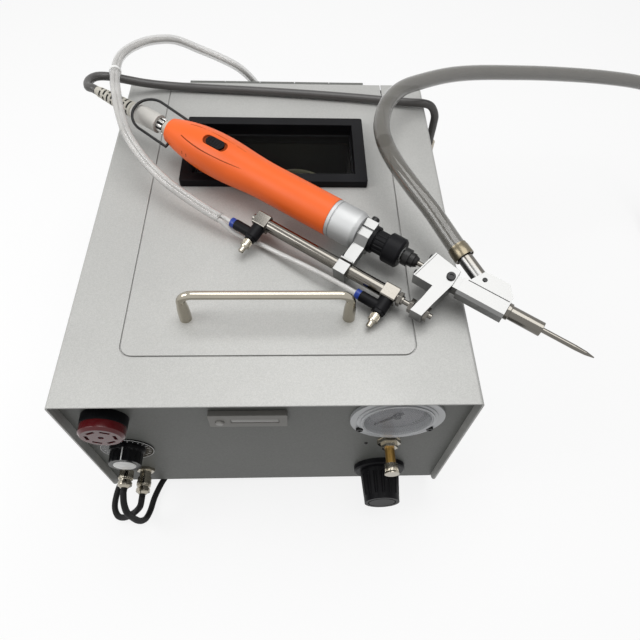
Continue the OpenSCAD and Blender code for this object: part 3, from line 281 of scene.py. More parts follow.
def make_materials():
    """Every finish of the machine, by name."""
    look = finish()
    return {
        "paint": textured_paint("silver_paint", look.paint, 0.45),
        # the silver-grey paint made much darker: painted shade for the chassis, whose front panel stands out of the
        # overhead light
        "shaded_panel_paint": textured_paint("shaded_panel_paint", (0.095, 0.098, 0.09), 0.5, 0.05),
        "zinc": brushed("zinc_plate", (0.3, 0.3, 0.29), 0.4),
        "nickel": grained("nickel_plate", (0.39, 0.36, 0.3), 0.14, 1.0, 500.0, 0.01, 0.05),
        "chrome": grained("chrome_plate", (0.55, 0.54, 0.52), 0.1, 1.0, 500.0, 0.01, 0.04),
        "steel": brushed("ground_steel", (0.17, 0.16, 0.143), 0.13, strength=0.1),
        "dark_steel": grained("blackened_steel", (0.012, 0.012, 0.012), 0.35, 0.3, 700.0, 0.02, gloss=0.3),
        "aluminium": grained("clear_anodised", (0.215, 0.215, 0.212), 0.32, 1.0, 1400.0, 0.02, 0.04),
        "satin": grained("blasted_aluminium", (0.42, 0.425, 0.425), 0.55, 0.75, 1800.0, 0.03, 0.05),
        "brass": grained("brass_bar", (0.4, 0.24, 0.07), 0.28, 1.0, 600.0, 0.02),
        "black": grained("black_plastic", (0.005, 0.005, 0.006), 0.42, 0.0, 1300.0, 0.03, 0.3, gloss=0.1),
        "gloss_black": grained("glossy_black", (0.006, 0.006, 0.007), 0.14, 0.0, 400.0, 0.01, 0.3, 0.06, gloss=0.2),
        "rubber": grained("black_rubber", (0.011, 0.011, 0.011), 0.6, 0.0, 900.0, 0.04, 0.25, gloss=0.15),
        "orange": grained("orange_shell", look.orange, 0.42, 0.0, 1600.0, 0.025, 0.05, 0.0, 20.0, gloss=0.3),
        # a darkened copy of the shell's orange: painted shade in the grooves, the vents and the switch pocket
        "shaded_orange": grained("groove_shade_orange", shade(look.orange, 0.3), 0.6, 0.0, 900.0, 0.02, gloss=0.1),
        "red": grained("red_lens", look.lens, 0.2, 0.0, 300.0, 0.01, 0.15, 0.12, gloss=0.35),
        # a darkened copy of the lens red: painted shade inside the buzzer's slots and hole
        "shaded_red": grained("red_slot_shade", shade(look.lens, 0.25), 0.5, gloss=0.2),
        "blue": grained("blue_ring", look.release, 0.3, 0.0, 600.0, 0.01, 0.1, 0.1, gloss=0.3),
        "white": grained("white_cap", (0.75, 0.75, 0.74), 0.4, 0.0, 600.0, 0.01, 0.04),
        "ink": grained("black_ink", (0.01, 0.01, 0.01), 0.5, 0.0, 600.0, 0.005, gloss=0.1),
        "dial": grained("dial_face", (0.3, 0.3, 0.31), 0.5, 0.0, 500.0, 0.01, 0.04, gloss=0.2),
        "gauge_grey": grained("gauge_case", (0.46, 0.47, 0.48), 0.3, 0.0, 800.0, 0.02, 0.06, 0.1, gloss=0.4),
        "counter_grey": grained("counter_case", (0.19, 0.185, 0.172), 0.5, 0.0, 1200.0, 0.03, 0.08, gloss=0.3),
        "counter_bar": grained("counter_window", (0.27, 0.265, 0.25), 0.35, 0.0, 900.0, 0.02, 0.06, gloss=0.4),
        "pale": grained("pale_plug", (0.5, 0.485, 0.455), 0.5, 0.0, 900.0, 0.02, 0.06, gloss=0.3),
        "boot": grained("boot_rubber", (0.44, 0.42, 0.37), 0.6, 0.0, 900.0, 0.03, 0.1, gloss=0.2),
        "cord": grained("grey_sheath", look.cord, 0.38, 0.0, 700.0, 0.02, 0.1, 0.1, gloss=0.35),
        "glass": clear_plastic("clear_pane", (0.015, 0.015, 0.014), 0.06, 0.12, 0.06),
        "lens": clear_plastic("gauge_glass", (0.5, 0.51, 0.54), 0.06, 0.16, 0.3),
        "hose": clear_plastic("smoky_hose", look.hose, 0.08, 0.72),
        "sleeve": clear_plastic("clear_sleeve", (0.6, 0.59, 0.57), 0.12, 0.36, 0.5, 0.5),
        "tube": clear_plastic("clear_tube", (0.62, 0.61, 0.59), 0.14, 0.7),
        "cuff": grained("hose_band", (0.17, 0.145, 0.1), 0.28, 0.8, 600.0, 0.02),
        "bin": grained("bin_lining", (0.03, 0.03, 0.028), 0.5, 0.0, 500.0, 0.03, 0.2),
        "olive": grained("olive_bowl", (0.3, 0.29, 0.2), 0.45, 0.0, 700.0, 0.03, 0.2),
        "motor": grained("motor_can", (0.05, 0.05, 0.052), 0.4, 0.5, 700.0, 0.02),
        "circuit": grained("circuit_green", (0.02, 0.11, 0.05), 0.4, 0.0, 300.0, 0.02, 0.3),
    }


LOOKS = {}


# Modelling by hand

def deselect():
    if bpy.context.object and bpy.context.object.mode != "OBJECT":
        bpy.ops.object.mode_set(mode="OBJECT")
    bpy.ops.object.select_all(action="DESELECT")


def take(piece):
    """Makes a piece the only one selected."""
    deselect()
    piece.select_set(True)
    bpy.context.view_layer.objects.active = piece
    return piece


def settle(piece, place):
    """Puts a piece in its place and leaves that place in its mesh."""
    take(piece)
    piece.matrix_world = place
    bpy.ops.object.transform_apply(location=True, rotation=True, scale=True)
    return piece


def complete(piece, look, body, smooth=SMOOTH):
    """The finish, the shading and the body of a new piece."""
    take(piece)
    piece.data.materials.clear()
    piece.data.materials.append(LOOKS[look])
    bpy.ops.object.shade_smooth_by_angle(angle=smooth)
    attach(piece, body)
    return piece


def turned(name, outline, place, sides=48, ring=False):
    """A round piece from its outline, (radius, height) in millimetres; a ring's outline comes back to its start."""
    deselect()
    first_r, first_z = outline[0]
    fill = "NOTHING" if ring else "NGON"
    bpy.ops.mesh.primitive_circle_add(vertices=sides, radius=first_r * MM, fill_type=fill,
                                      location=(0, 0, first_z * MM))
    piece = bpy.context.object
    piece.name = name
    bpy.ops.object.transform_apply(location=True, rotation=True, scale=True)
    bpy.ops.object.mode_set(mode="EDIT")
    bpy.ops.mesh.select_all(action="SELECT")
    r, z = first_r, first_z
    for next_r, next_z in list(outline[1:]) + ([outline[0]] if ring else []):
        bpy.ops.mesh.extrude_region_move(TRANSFORM_OT_translate={"value": (0, 0, (next_z - z) * MM)})
        k = next_r / r
        bpy.ops.transform.resize(value=(k, k, 1), center_override=(0, 0, next_z * MM))
        r, z = next_r, next_z
    bpy.ops.mesh.select_all(action="SELECT")
    bpy.ops.mesh.remove_doubles(threshold=1e-6)
    bpy.ops.mesh.normals_make_consistent(inside=False)
    bpy.ops.object.mode_set(mode="OBJECT")
    return settle(piece, place)


def block(name, size, place, bevel=0.3):
    """A box of a size in millimetres with eased edges, its base in the place's plane."""
    deselect()
    bpy.ops.mesh.primitive_cube_add(size=MM, location=(0, 0, size[2] * MM / 2))
    piece = bpy.context.object
    piece.name = name
    bpy.ops.transform.resize(value=size)
    bpy.ops.object.transform_apply(location=True, rotation=True, scale=True)
    bpy.ops.object.mode_set(mode="EDIT")
    bpy.ops.mesh.select_all(action="SELECT")
    bpy.ops.mesh.bevel(offset=bevel * MM, segments=2, affect="EDGES")
    bpy.ops.object.mode_set(mode="OBJECT")
    return settle(piece, place)


def joined(name, pieces):
    """Several meshes made one piece."""
    deselect()
    for piece in pieces:
        piece.select_set(True)
    bpy.context.view_layer.objects.active = pieces[0]
    bpy.ops.object.join()
    pieces[0].name = name
    return pieces[0]


def ring_of(name, model, count, place, angle=360.0, start=0.0):
    """Copies of a piece made at the origin, turned round the place's axis, as one mesh."""
    copies = []
    steps = count if angle == 360 else count - 1
    for k in range(count):
        copy = bpy.data.objects.new(name, model.data.copy())
        bpy.context.scene.collection.objects.link(copy)
        settle(copy, place @ Matrix.Rotation(math.radians(start + angle * k / steps), 4, "Z"))
        copies.append(copy)
    bpy.data.objects.remove(model)
    return joined(name, copies)


def cut(piece, cutters):
    """Takes the cutters' shapes out of a piece."""
    for cutter in cutters:
        take(piece)
        modifier = piece.modifiers.new("cut", "BOOLEAN")
        modifier.operation = "DIFFERENCE"
        modifier.object = cutter
        bpy.ops.object.modifier_apply(modifier=modifier.name)
        bpy.data.objects.remove(cutter)
    return piece


def eased(node, look, edge=None):
    """A copy of a solid with its edges eased, which stands for the solid."""
    source = NODES[node]
    piece = bpy.data.objects.new(node + "_finish", source.data.copy())
    bpy.context.scene.collection.objects.link(piece)
    take(piece)
    bpy.ops.object.mode_set(mode="EDIT")
    bpy.ops.mesh.select_all(action="SELECT")
    bpy.ops.mesh.remove_doubles(threshold=2e-6)
    bpy.ops.mesh.dissolve_limited(angle_limit=math.radians(0.4))
    bpy.ops.object.mode_set(mode="OBJECT")
    bpy.ops.object.shade_smooth()
    bevel = piece.modifiers.new("edges", "BEVEL")
    bevel.width = edge or detail().edge
    bevel.segments = 2
    bevel.limit_method = "ANGLE"
    bevel.angle_limit = math.radians(32)
    bpy.ops.object.modifier_apply(modifier=bevel.name)
    complete(piece, look, source["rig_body"], ROUND_SMOOTH)
    flat = piece.modifiers.new("flat_faces", "WEIGHTED_NORMAL")
    flat.keep_sharp = True
    bpy.ops.object.modifier_apply(modifier=flat.name)
    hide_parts(node)
    return piece


def fitted(piece, look, node):
    """Finishes a fitting that moves with a node."""
    return complete(piece, look, NODES[node]["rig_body"])


def part_look(piece, look, inside):
    """Gives a second finish to the faces whose middles pass a test."""
    piece.data.materials.append(LOOKS[look])
    index = len(piece.data.materials) - 1
    for face in piece.data.polygons:
        if inside(face.center):
            face.material_index = index


def reshape(piece, change):
    """Moves the points of a dressed copy, each by its own place."""
    for point in piece.data.vertices:
        point.co = change(point.co)


def panel_out(place):
    """How far a place stands out of the front panel, in millimetres."""
    return (PANEL - place.y) / MM


def sunk(limit, depth):
    """A change that brings in by a depth what stands further out of the panel than a limit, in millimetres."""
    return lambda place: place + Vector((0, depth * MM if panel_out(place) > limit else 0, 0))


def tool_place(point):
    """A place in metres as (s, y, z) of the tool's frame, in millimetres."""
    way = (point - TOOL_TAIL) / MM
    return way.dot(TOOL_S), way.dot(TOOL_Y), way.dot(TOOL_Z)


def painted(look, *nodes):
    """Gives a finish to solids that keep their own mesh."""
    for node in nodes:
        solid = NODES[node]
        solid.data.materials.clear()
        solid.data.materials.append(LOOKS[look])
        take(solid)
        bpy.ops.object.shade_smooth_by_angle(angle=SMOOTH)


def cap_screw(name, place, radius=None, height=3.2):
    """A socket cap screw head with its hexagon recess."""
    r = (radius or detail().screw_head) / MM
    head = turned(name, [(r, 0), (r, height - 0.4), (r - 0.4, height), (r * 0.4, height)], Matrix.Identity(4), 32)
    bpy.ops.mesh.primitive_cylinder_add(vertices=6, radius=r * 0.52 * MM, depth=height * MM,
                                        location=(0, 0, height * MM))
    cut(head, [bpy.context.object])
    return settle(head, place)


def pan_screw(name, place, radius=2.6, height=1.4):
    """A domed screw head with a cross recess."""
    dome = [(radius, 0), (radius, height * 0.35), (radius * 0.86, height * 0.72), (radius * 0.55, height * 0.95),
            (radius * 0.2, height)]
    head = turned(name, dome, Matrix.Identity(4), 24)
    slots = []
    for long_x in (True, False):
        bpy.ops.mesh.primitive_cube_add(size=MM, location=(0, 0, height * MM))
        bpy.ops.transform.resize(value=(radius * 1.1, 0.55, 1.2) if long_x else (0.55, radius * 1.1, 1.2))
        slots.append(bpy.context.object)
    cut(head, slots)
    return settle(head, place)


# Cords

def between(a, b, c, d, t):
    return 0.5 * (2 * b + t * (c - a) + t * t * (2 * a - 5 * b + 4 * c - d) + t ** 3 * (3 * b - a - 3 * c + d))


def smooth_route(points):
    """A smooth line through the points, as the solids follow it."""
    last = len(points) - 1
    line = []
    for i in range(last):
        a, d = points[max(i - 1, 0)], points[min(i + 2, last)]
        line += [between(a, points[i], points[i + 1], d, k / ROUTE_STEPS) for k in range(ROUTE_STEPS)]
    return line + [points[last]]


def lay_cord(name, line, diameter, look):
    """A round cord along a line, as a mesh."""
    deselect()
    curve = bpy.data.curves.new(name, "CURVE")
    curve.dimensions = "3D"
    curve.bevel_depth = diameter / 2
    curve.bevel_resolution = detail().tube_sides // 4 - 1
    curve.use_fill_caps = True
    spline = curve.splines.new("POLY")
    spline.points.add(len(line) - 1)
    for point, place in zip(spline.points, line):
        point.co = (*place, 1)
    piece = bpy.data.objects.new(name, curve)
    bpy.context.scene.collection.objects.link(piece)
    take(piece)
    bpy.ops.object.convert(target="MESH")
    piece = bpy.context.object
    piece.data.materials.clear()
    piece.data.materials.append(LOOKS[look])
    bpy.ops.object.shade_smooth_by_angle(angle=ROUND_SMOOTH)
    return piece


GAP = 0.3
SLEEVE_D, TUBE_D, CORD_D, HOSE_D, CABLE_D = 9 * MM, 4 * MM, 8 * MM, 14.5 * MM, 5.6 * MM
TUBE_SIDE = 2.1
HEAD_START = 287
SPIGOT_TURN, SPIGOT_L = math.radians(27.5), 29
SPIGOT_WAY = Vector((-math.cos(SPIGOT_TURN), math.sin(SPIGOT_TURN), 0))
SPIGOT_MOUTH = Vector((HEAD_START + 21.5, 9.5, -0.8)) + SPIGOT_L * SPIGOT_WAY
PLUG_FRONT, PLUG_BACK, BOOT_BACK = -6, -34, -82
SLEEVE_END = Vector((99, -48.1, 0.6))
REAR_PORT, FRONT_PORT, PORT_OUT, PORT_RUN = 109.5, 228.5, 46, 22
HOSE_SPLIT, ROUTE_STEPS = 6, 8
LOOP_AT, LOOP_R = Vector((561, 122, 7.45)), 76
UPPER_PLUG, LOWER_PLUG = (-128, 62), (-117, 43)
PLUG_TAIL, REAR_FACE, GROMMET_Z = -197.5, 190, 46
# Signal cables: the node, its plug as (x, z), x of its grommet and the points between
CABLES = (
    ("left_cable", LOWER_PLUG, -118, [
        (-118.5, -206.5, 39), (-124, -208.5, 30), (-131, -209, 20), (-139, -209, 10.5), (-147, -206, 5),
        (-152, -197, 3), (-152, -184, 3), (-149, -168, 3), (-146, -145, 3), (-145, -80, 3), (-145, 0, 3),
        (-145, 80, 3), (-143, 140, 3), (-136, 180, 3), (-127, 205, 5), (-120, 220, 14), (-118, 223, 29),
        (-118, 214, 41)]),
    ("right_cable", UPPER_PLUG, -100, [
        (-127.5, -209, 57), (-126.5, -214, 48), (-125, -215, 35), (-122.5, -214.5, 20), (-120, -210, 9),
        (-118, -201, 4), (-116, -189, 3), (-111, -175, 3), (-103, -160, 3), (-98, -140, 3), (-97, -80, 3),
        (-97, 0, 3), (-97, 80, 3), (-97, 140, 3), (-98, 185, 3), (-99, 207, 5), (-100, 221, 14),
        (-100, 223, 29), (-100, 214, 41)]),
)


def sleeve_route():
    gland = [(-14, 194 + k, 120) for k in (GAP, 4, 8)]
    middle = [(-14, 210, 122), (-15, 219, 131), (-19, 223, 148), (-27, 221, 168), (-41, 217, 187), (-60, 219, 197),
              (-82, 222, 205), (-106, 220, 216), (-127, 204, 224), (-141, 185, 228), (-147, 163, 232),
              (-146, 139, 236), (-142, 115, 239.5), (-136, 91, 241), (-129.5, 68, 238.5), (-121, 47, 232),
              (-106, 28, 222), (-88, 10.5, 216), (-70, -3, 211.5)]
    s, y, z = SLEEVE_END
    return [on_cabinet(p) for p in gland + middle] + [on_tool(s - k, y, z) for k in (12, 6, 0)]


def rear_tube_route():
    s, y, z = SLEEVE_END
    return [on_tool(*p) for p in [(s + GAP, y + TUBE_SIDE, z), (s + 3, y + TUBE_SIDE, z),
                                  (REAR_PORT - 5, -PORT_OUT, 0.2), (REAR_PORT - GAP, -PORT_OUT, 0)]]


def front_tube_route():
    s, y, z = SLEEVE_END
    return [on_tool(*p) for p in [(s + GAP, y - TUBE_SIDE, z), (s + 3, y - 2.2, z - 0.4), (108, -50.5, -3.8),
                                  (116, -50.3, -7.2), (126, -49, -8.4), (137, -47.5, -8.4), (155, -47, -6.5),
                                  (180, -46.3, -3), (203, -46, -0.6), (218, -PORT_OUT, 0),
                                  (FRONT_PORT - GAP, -PORT_OUT, 0)]]


def driver_cord_route():
    boot = [on_tool(BOOT_BACK - k) for k in (GAP, 3, 6)]
    middle = [(-173.5, 129, 222.5), (-175.5, 140, 221), (-171, 150, 219), (-160, 155.5, 215.5), (-146, 159, 210),
              (-130, 163, 204), (-110, 167, 199), (-77, 166, 197.5), (-27, 163, 197.5), (24, 159, 197.5),
              (74, 154, 197.6), (110, 149, 198), (133, 146, 198.3), (147, 144.3, 198.6), (156, 143.2, 195.6),
              (161.3, 142.3, 186), (162, 142, 175)]
    fitting = [(162, 142, 154 + k) for k in (12, 6, GAP)]
    return boot + [on_cabinet(p) for p in middle + fitting]


def hose_route():
    spigot = [on_tool(*(SPIGOT_MOUTH + k * SPIGOT_WAY)) for k in (GAP, 8, 16)]
    middle = [(126, -30, 226), (113, -8, 230), (101, 17, 233), (94, 41, 235), (94, 66, 235), (102, 95, 233),
              (118, 121, 230), (142, 140, 226), (171, 158, 221), (202, 172, 215), (242, 184, 208), (290, 196, 200),
              (352, 207, 190), (405, 213, 180), (434, 216, 168), (461, 217, 146), (477, 214, 115), (484, 206, 81),
              (486, 191, 48), (486, 170, 23), (485, 146, 10)]
    turns = [math.radians(a) for a in range(180, 451, 30)]
    loop = [LOOP_AT + LOOP_R * Vector((math.cos(a), math.sin(a), 0)) for a in turns]
    return spigot + [on_cabinet(p) for p in middle + loop]


def cable_route(plug, rear_x, middle):
    """A signal cable from its plug's tail, under the cabinet, to its grommet at the rear."""
    start = [(plug[0], PLUG_TAIL - k, plug[1]) for k in (GAP, 2, 4)]
    grommet = [(rear_x, REAR_FACE + k, GROMMET_Z) for k in (10, 5, GAP)]
    return [on_cabinet(p) for p in start + middle + grommet]


def stand_for(node):
    """Lets a cord's piece stand for its solid."""
    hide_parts(node)


def beside(line, side, offset):
    """A line that keeps its distance from another, to one side of the other's last point."""
    places = []
    for i in reversed(range(len(line))):
        way = (line[min(i + 1, len(line) - 1)] - line[max(i - 1, 0)]).normalized()
        side = (side - side.dot(way) * way).normalized()
        places.append(line[i] + offset * side)
    return places[::-1]


CAMERA_AT, CAMERA_LENS = (20.142, -338.955, 539.964), 31.04
CAMERA_AHEAD = Vector((0.04112, 0.54677, -0.83627))
CAMERA_RIGHT = Vector((0.99915, -0.02511, 0.03271))
# Lights: the name, place and size in millimetres, and power in watts
LIGHTS = (("key_light", (170, 80, 1300), 950, 11), ("side_light", (-900, -200, 900), 600, 6))
LIT_CENTRE = (0, 0, 150)
WORLD_STRENGTH = 0.28
FLOOR_SIZE, FLOOR_Z, FLOOR_GLOW = 8, -0.0003, 0.84
WHITE, FLOOR_GREY = (1, 1, 1, 1), (0.86, 0.86, 0.86, 1)


class StageOperator(bpy.types.Operator):
    """Sets the camera, the lights, the pale floor and the world"""

    bl_idname = "feeder.stage"
    bl_label = "Stage"

    def execute(self, context):
        scene = context.scene
        scene.view_settings.view_transform = "Standard"
        self.camera(scene)
        self.lights()
        self.world(scene)
        self.floor()
        return {"FINISHED"}

    def camera(self, scene):
        lens_data = bpy.data.cameras.new("photo_camera")
        lens_data.sensor_width = 36
        lens_data.lens = CAMERA_LENS
        lens_data.clip_start = 0.01
        camera = bpy.data.objects.new("photo_camera", lens_data)
        scene.collection.objects.link(camera)
        camera.matrix_world = frame_of(on_cabinet(CAMERA_AT), CAMERA_RIGHT, -CAMERA_AHEAD)
        scene.camera = camera

    def lights(self):
        for name, place, size, power in LIGHTS:
            lamp = bpy.data.lights.new(name, "AREA")
            lamp.size = size * MM
            lamp.energy = power
            light = bpy.data.objects.new(name, lamp)
            bpy.context.scene.collection.objects.link(light)
            spot = on_cabinet(place)
            light.matrix_world = frame_of(spot, X_WAY, spot - on_cabinet(LIT_CENTRE))

    def white_to_camera(self, tree, lit, output, socket):
        """Mixes a shader with plain white for what the camera, metal and glass see."""
        nodes, links = tree.nodes, tree.links
        path = nodes.new("ShaderNodeLightPath")
        seen = path.outputs["Is Camera Ray"]
        for ray in ("Is Transmission Ray", "Is Glossy Ray"):
            either = nodes.new("ShaderNodeMath")
            either.operation = "MAXIMUM"
            links.new(seen, either.inputs[0])
            links.new(path.outputs[ray], either.inputs[1])
            seen = either.outputs[0]
        mix = nodes.new("ShaderNodeMixShader")
        links.new(seen, mix.inputs["Fac"])
        links.new(lit, mix.inputs[1])
        links.new(mix.outputs[0], output.inputs[socket])
        return mix.inputs[2]

    def world(self, scene):
        world = bpy.data.worlds.new("studio")
        scene.world = world
        world.use_nodes = True
        tree = world.node_tree
        back = tree.nodes["Background"]
        back.inputs["Color"].default_value = WHITE
        back.inputs["Strength"].default_value = WORLD_STRENGTH
        white = tree.nodes.new("ShaderNodeBackground")
        white.inputs["Color"].default_value = WHITE
        shown = self.white_to_camera(tree, back.outputs[0], tree.nodes["World Output"], "Surface")
        tree.links.new(white.outputs[0], shown)

    def floor(self):
        deselect()
        bpy.ops.mesh.primitive_plane_add(size=FLOOR_SIZE, location=(0, 0, FLOOR_Z))
        floor = bpy.context.object
        floor.name = "floor"
        material = bpy.data.materials.new("pale_floor")
        material.use_nodes = True
        tree = material.node_tree
        tree.nodes.remove(tree.nodes["Principled BSDF"])
        lit = tree.nodes.new("ShaderNodeBsdfDiffuse")
        lit.inputs["Color"].default_value = FLOOR_GREY
        shadowed = tree.nodes.new("ShaderNodeMixShader")
        shadowed.inputs["Fac"].default_value = FLOOR_GLOW
        glow = tree.nodes.new("ShaderNodeEmission")
        tree.links.new(lit.outputs[0], shadowed.inputs[1])
        tree.links.new(glow.outputs[0], shadowed.inputs[2])
        shown = self.white_to_camera(tree, lit.outputs[0], tree.nodes["Material Output"], "Surface")
        tree.links.new(shadowed.outputs[0], shown)
        floor.data.materials.append(material)


class CordsOperator(bpy.types.Operator):
    """Lays the screw hose, the air tubes, the driver's cord and the two signal cables"""

    bl_idname = "feeder.cords"
    bl_label = "Hoses and cords"

    def execute(self, context):
        self.hose()
        self.air()
        self.driver_cord()
        for name, plug, rear_x, middle in CABLES:
            line = smooth_route(cable_route(plug, rear_x, middle))
            piece = lay_cord(name + "_sheath", line, CABLE_D, "rubber")
            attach(piece, "cabinet")
            stand_for(name)
        return {"FINISHED"}

    def hose(self):
        line = smooth_route(hose_route())
        split = HOSE_SPLIT * ROUTE_STEPS
        near, far = line[:split + 1], line[split:]
        nose = lay_cord("nose_hose_wall", near, HOSE_D, "hose")
        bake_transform(nose)
        main = lay_cord("screw_hose_wall", far, HOSE_D, "hose")
        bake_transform(main)
        stand_for("nose_hose")
        stand_for("screw_hose")
        mouth = on_tool(*SPIGOT_MOUTH)
        cuff = turned("hose_cuff", [(7.3, -0.4), (7.9, -0.4), (8.05, 0.4), (8.05, 8), (7.75, 8.6), (7.75, 10.4),
                                    (7.3, 10.6)], frame_of(mouth, TOOL_Z, near[4] - mouth), 48, True)
        fitted(cuff, "cuff", "feed_head")
        end = frame_of(far[-1], Z_WAY, far[-1] - far[-2])
        plug = turned("hose_connector", [(6.9, -6), (6.9, 0), (5.2, 0.3), (5.2, 4), (6.6, 4.2), (7, 4.8), (7, 12.2),
                                         (6.6, 12.8), (5.2, 13), (5.2, 19), (4.7, 19.4), (4.7, 21), (5.2, 21.4),
                                         (5.2, 29), (4.6, 30), (3.4, 30), (3.4, 12), (0.5, 12)], end)
        ribs = ring_of("hose_connector_grip", block("rib", (0.5, 0.9, 6.4), move(6.95, 0, 5.3), 0.15), 28, end)
        plug = complete(joined("hose_connector", [plug, ribs]), "nickel", "cabinet")

    def air(self):
        line = smooth_route(sleeve_route())
        sleeve = lay_cord("air_sleeve_wall", line, SLEEVE_D, "sleeve")
        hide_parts("air_sleeve")
        inner = [lay_cord("sleeve_tube_" + name, beside(line, TOOL_Y, side * TUBE_SIDE * MM), TUBE_D, "tube")
                 for name, side in (("rear", 1), ("front", -1))]
        middle = len(line) * 15 // 25
        band = turned("sleeve_tie", [(4.5, -1.8), (5.1, -1.8), (5.3, -1.2), (5.3, 1.2), (5.1, 1.8), (4.5, 1.8)],
                      frame_of(line[middle], Z_WAY, line[middle + 1] - line[middle - 1]), 32, True)
        for piece in [sleeve, band] + inner:
            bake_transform(piece)
        band.data.materials.append(LOOKS["white"])
        for name, route in (("rear_air_tube", rear_tube_route()), ("front_air_tube", front_tube_route())):
            line = smooth_route(route)
            tube = lay_cord(name + "_wall", line, TUBE_D, "tube")
            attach(tube, "hand_tool")
            stand_for(name)

    def driver_cord(self):
        line = smooth_route(driver_cord_route())
        cord = lay_cord("driver_cord_sheath", line, CORD_D, "cord")
        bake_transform(cord)
        stand_for("driver_cord")


HANDLE_LEGS_X, HANDLE_Y = (-63, 59), -110
LEG_OUTLINE = [(4.7, 0), (4.65, 7), (4.4, 13), (3.8, 18), (3.22, 22)]
REAR_SCREWS_X, REAR_SCREWS_Z = (-138, 138), (24, 172)
WALLS_X, WALL_SCREWS_Y, WALL_SCREWS_Z = (-150, 150), (-130, 0, 130), 26


class CabinetOperator(bpy.types.Operator):
    """Finishes the cabinet, its lid, window, handle and feet"""

    bl_idname = "feeder.cabinet"
    bl_label = "Cabinet"

    def execute(self, context):
        eased("cover", "paint")
        eased("lid", "paint")
        # painted shade: the chassis takes the darkened copy of the cabinet paint
        eased("chassis", "shaded_panel_paint")
        eased("handle", "nickel", edge=0.1 * MM)
        legs = [turned("handle_leg", LEG_OUTLINE, frame_of(on_cabinet((x, HANDLE_Y, TOP / MM)), X_WAY, Z_WAY))
                for x in HANDLE_LEGS_X]
        fitted(joined("handle_legs", legs), "nickel", "handle")
        eased("window_frame", "black", edge=0.5 * MM)
        painted("glass", "window_pane")
        # the hinge takes the same darkened copy of the paint, painted shade
        painted("shaded_panel_paint", "lid_hinge")
        eased("feet", "rubber", edge=0.8 * MM)
        self.screws()
        return {"FINISHED"}

    def screws(self):
        """Pan heads at the corners of the rear plate and low on both walls."""
        rear = [pan_screw("rear_screw", frame_of(Vector((CABINET.x + x * MM, BACK, z * MM)), Z_WAY, Y_WAY))
                for x in REAR_SCREWS_X for z in REAR_SCREWS_Z]
        fitted(joined("rear_screws", rear), "zinc", "chassis")
        walls = [pan_screw("wall_screw", frame_of(on_cabinet((x, y, WALL_SCREWS_Z)), Z_WAY, x * X_WAY))
                 for x in WALLS_X for y in WALL_SCREWS_Y]
        fitted(joined("wall_screws", walls), "zinc", "cover")


# Places on the front panel as (x, z), in millimetres
BUZZER, SPEED, COUNTER, GAUGE, AIR = (-120, 160), (-120, 96), (-16, 160), (95, 155), (95, 108)
PANEL_SCREW = (76.9, 101.2)
# How far the gauge and the regulator's knob stand in from their solids, and what of them does
GAUGE_DROP, BEZEL_FROM, GLASS_FROM = 2.6, 5, 3
KNOB_DROP, KNOB_FROM = 7, 20
VALVE_NUT_OUT = 7.4


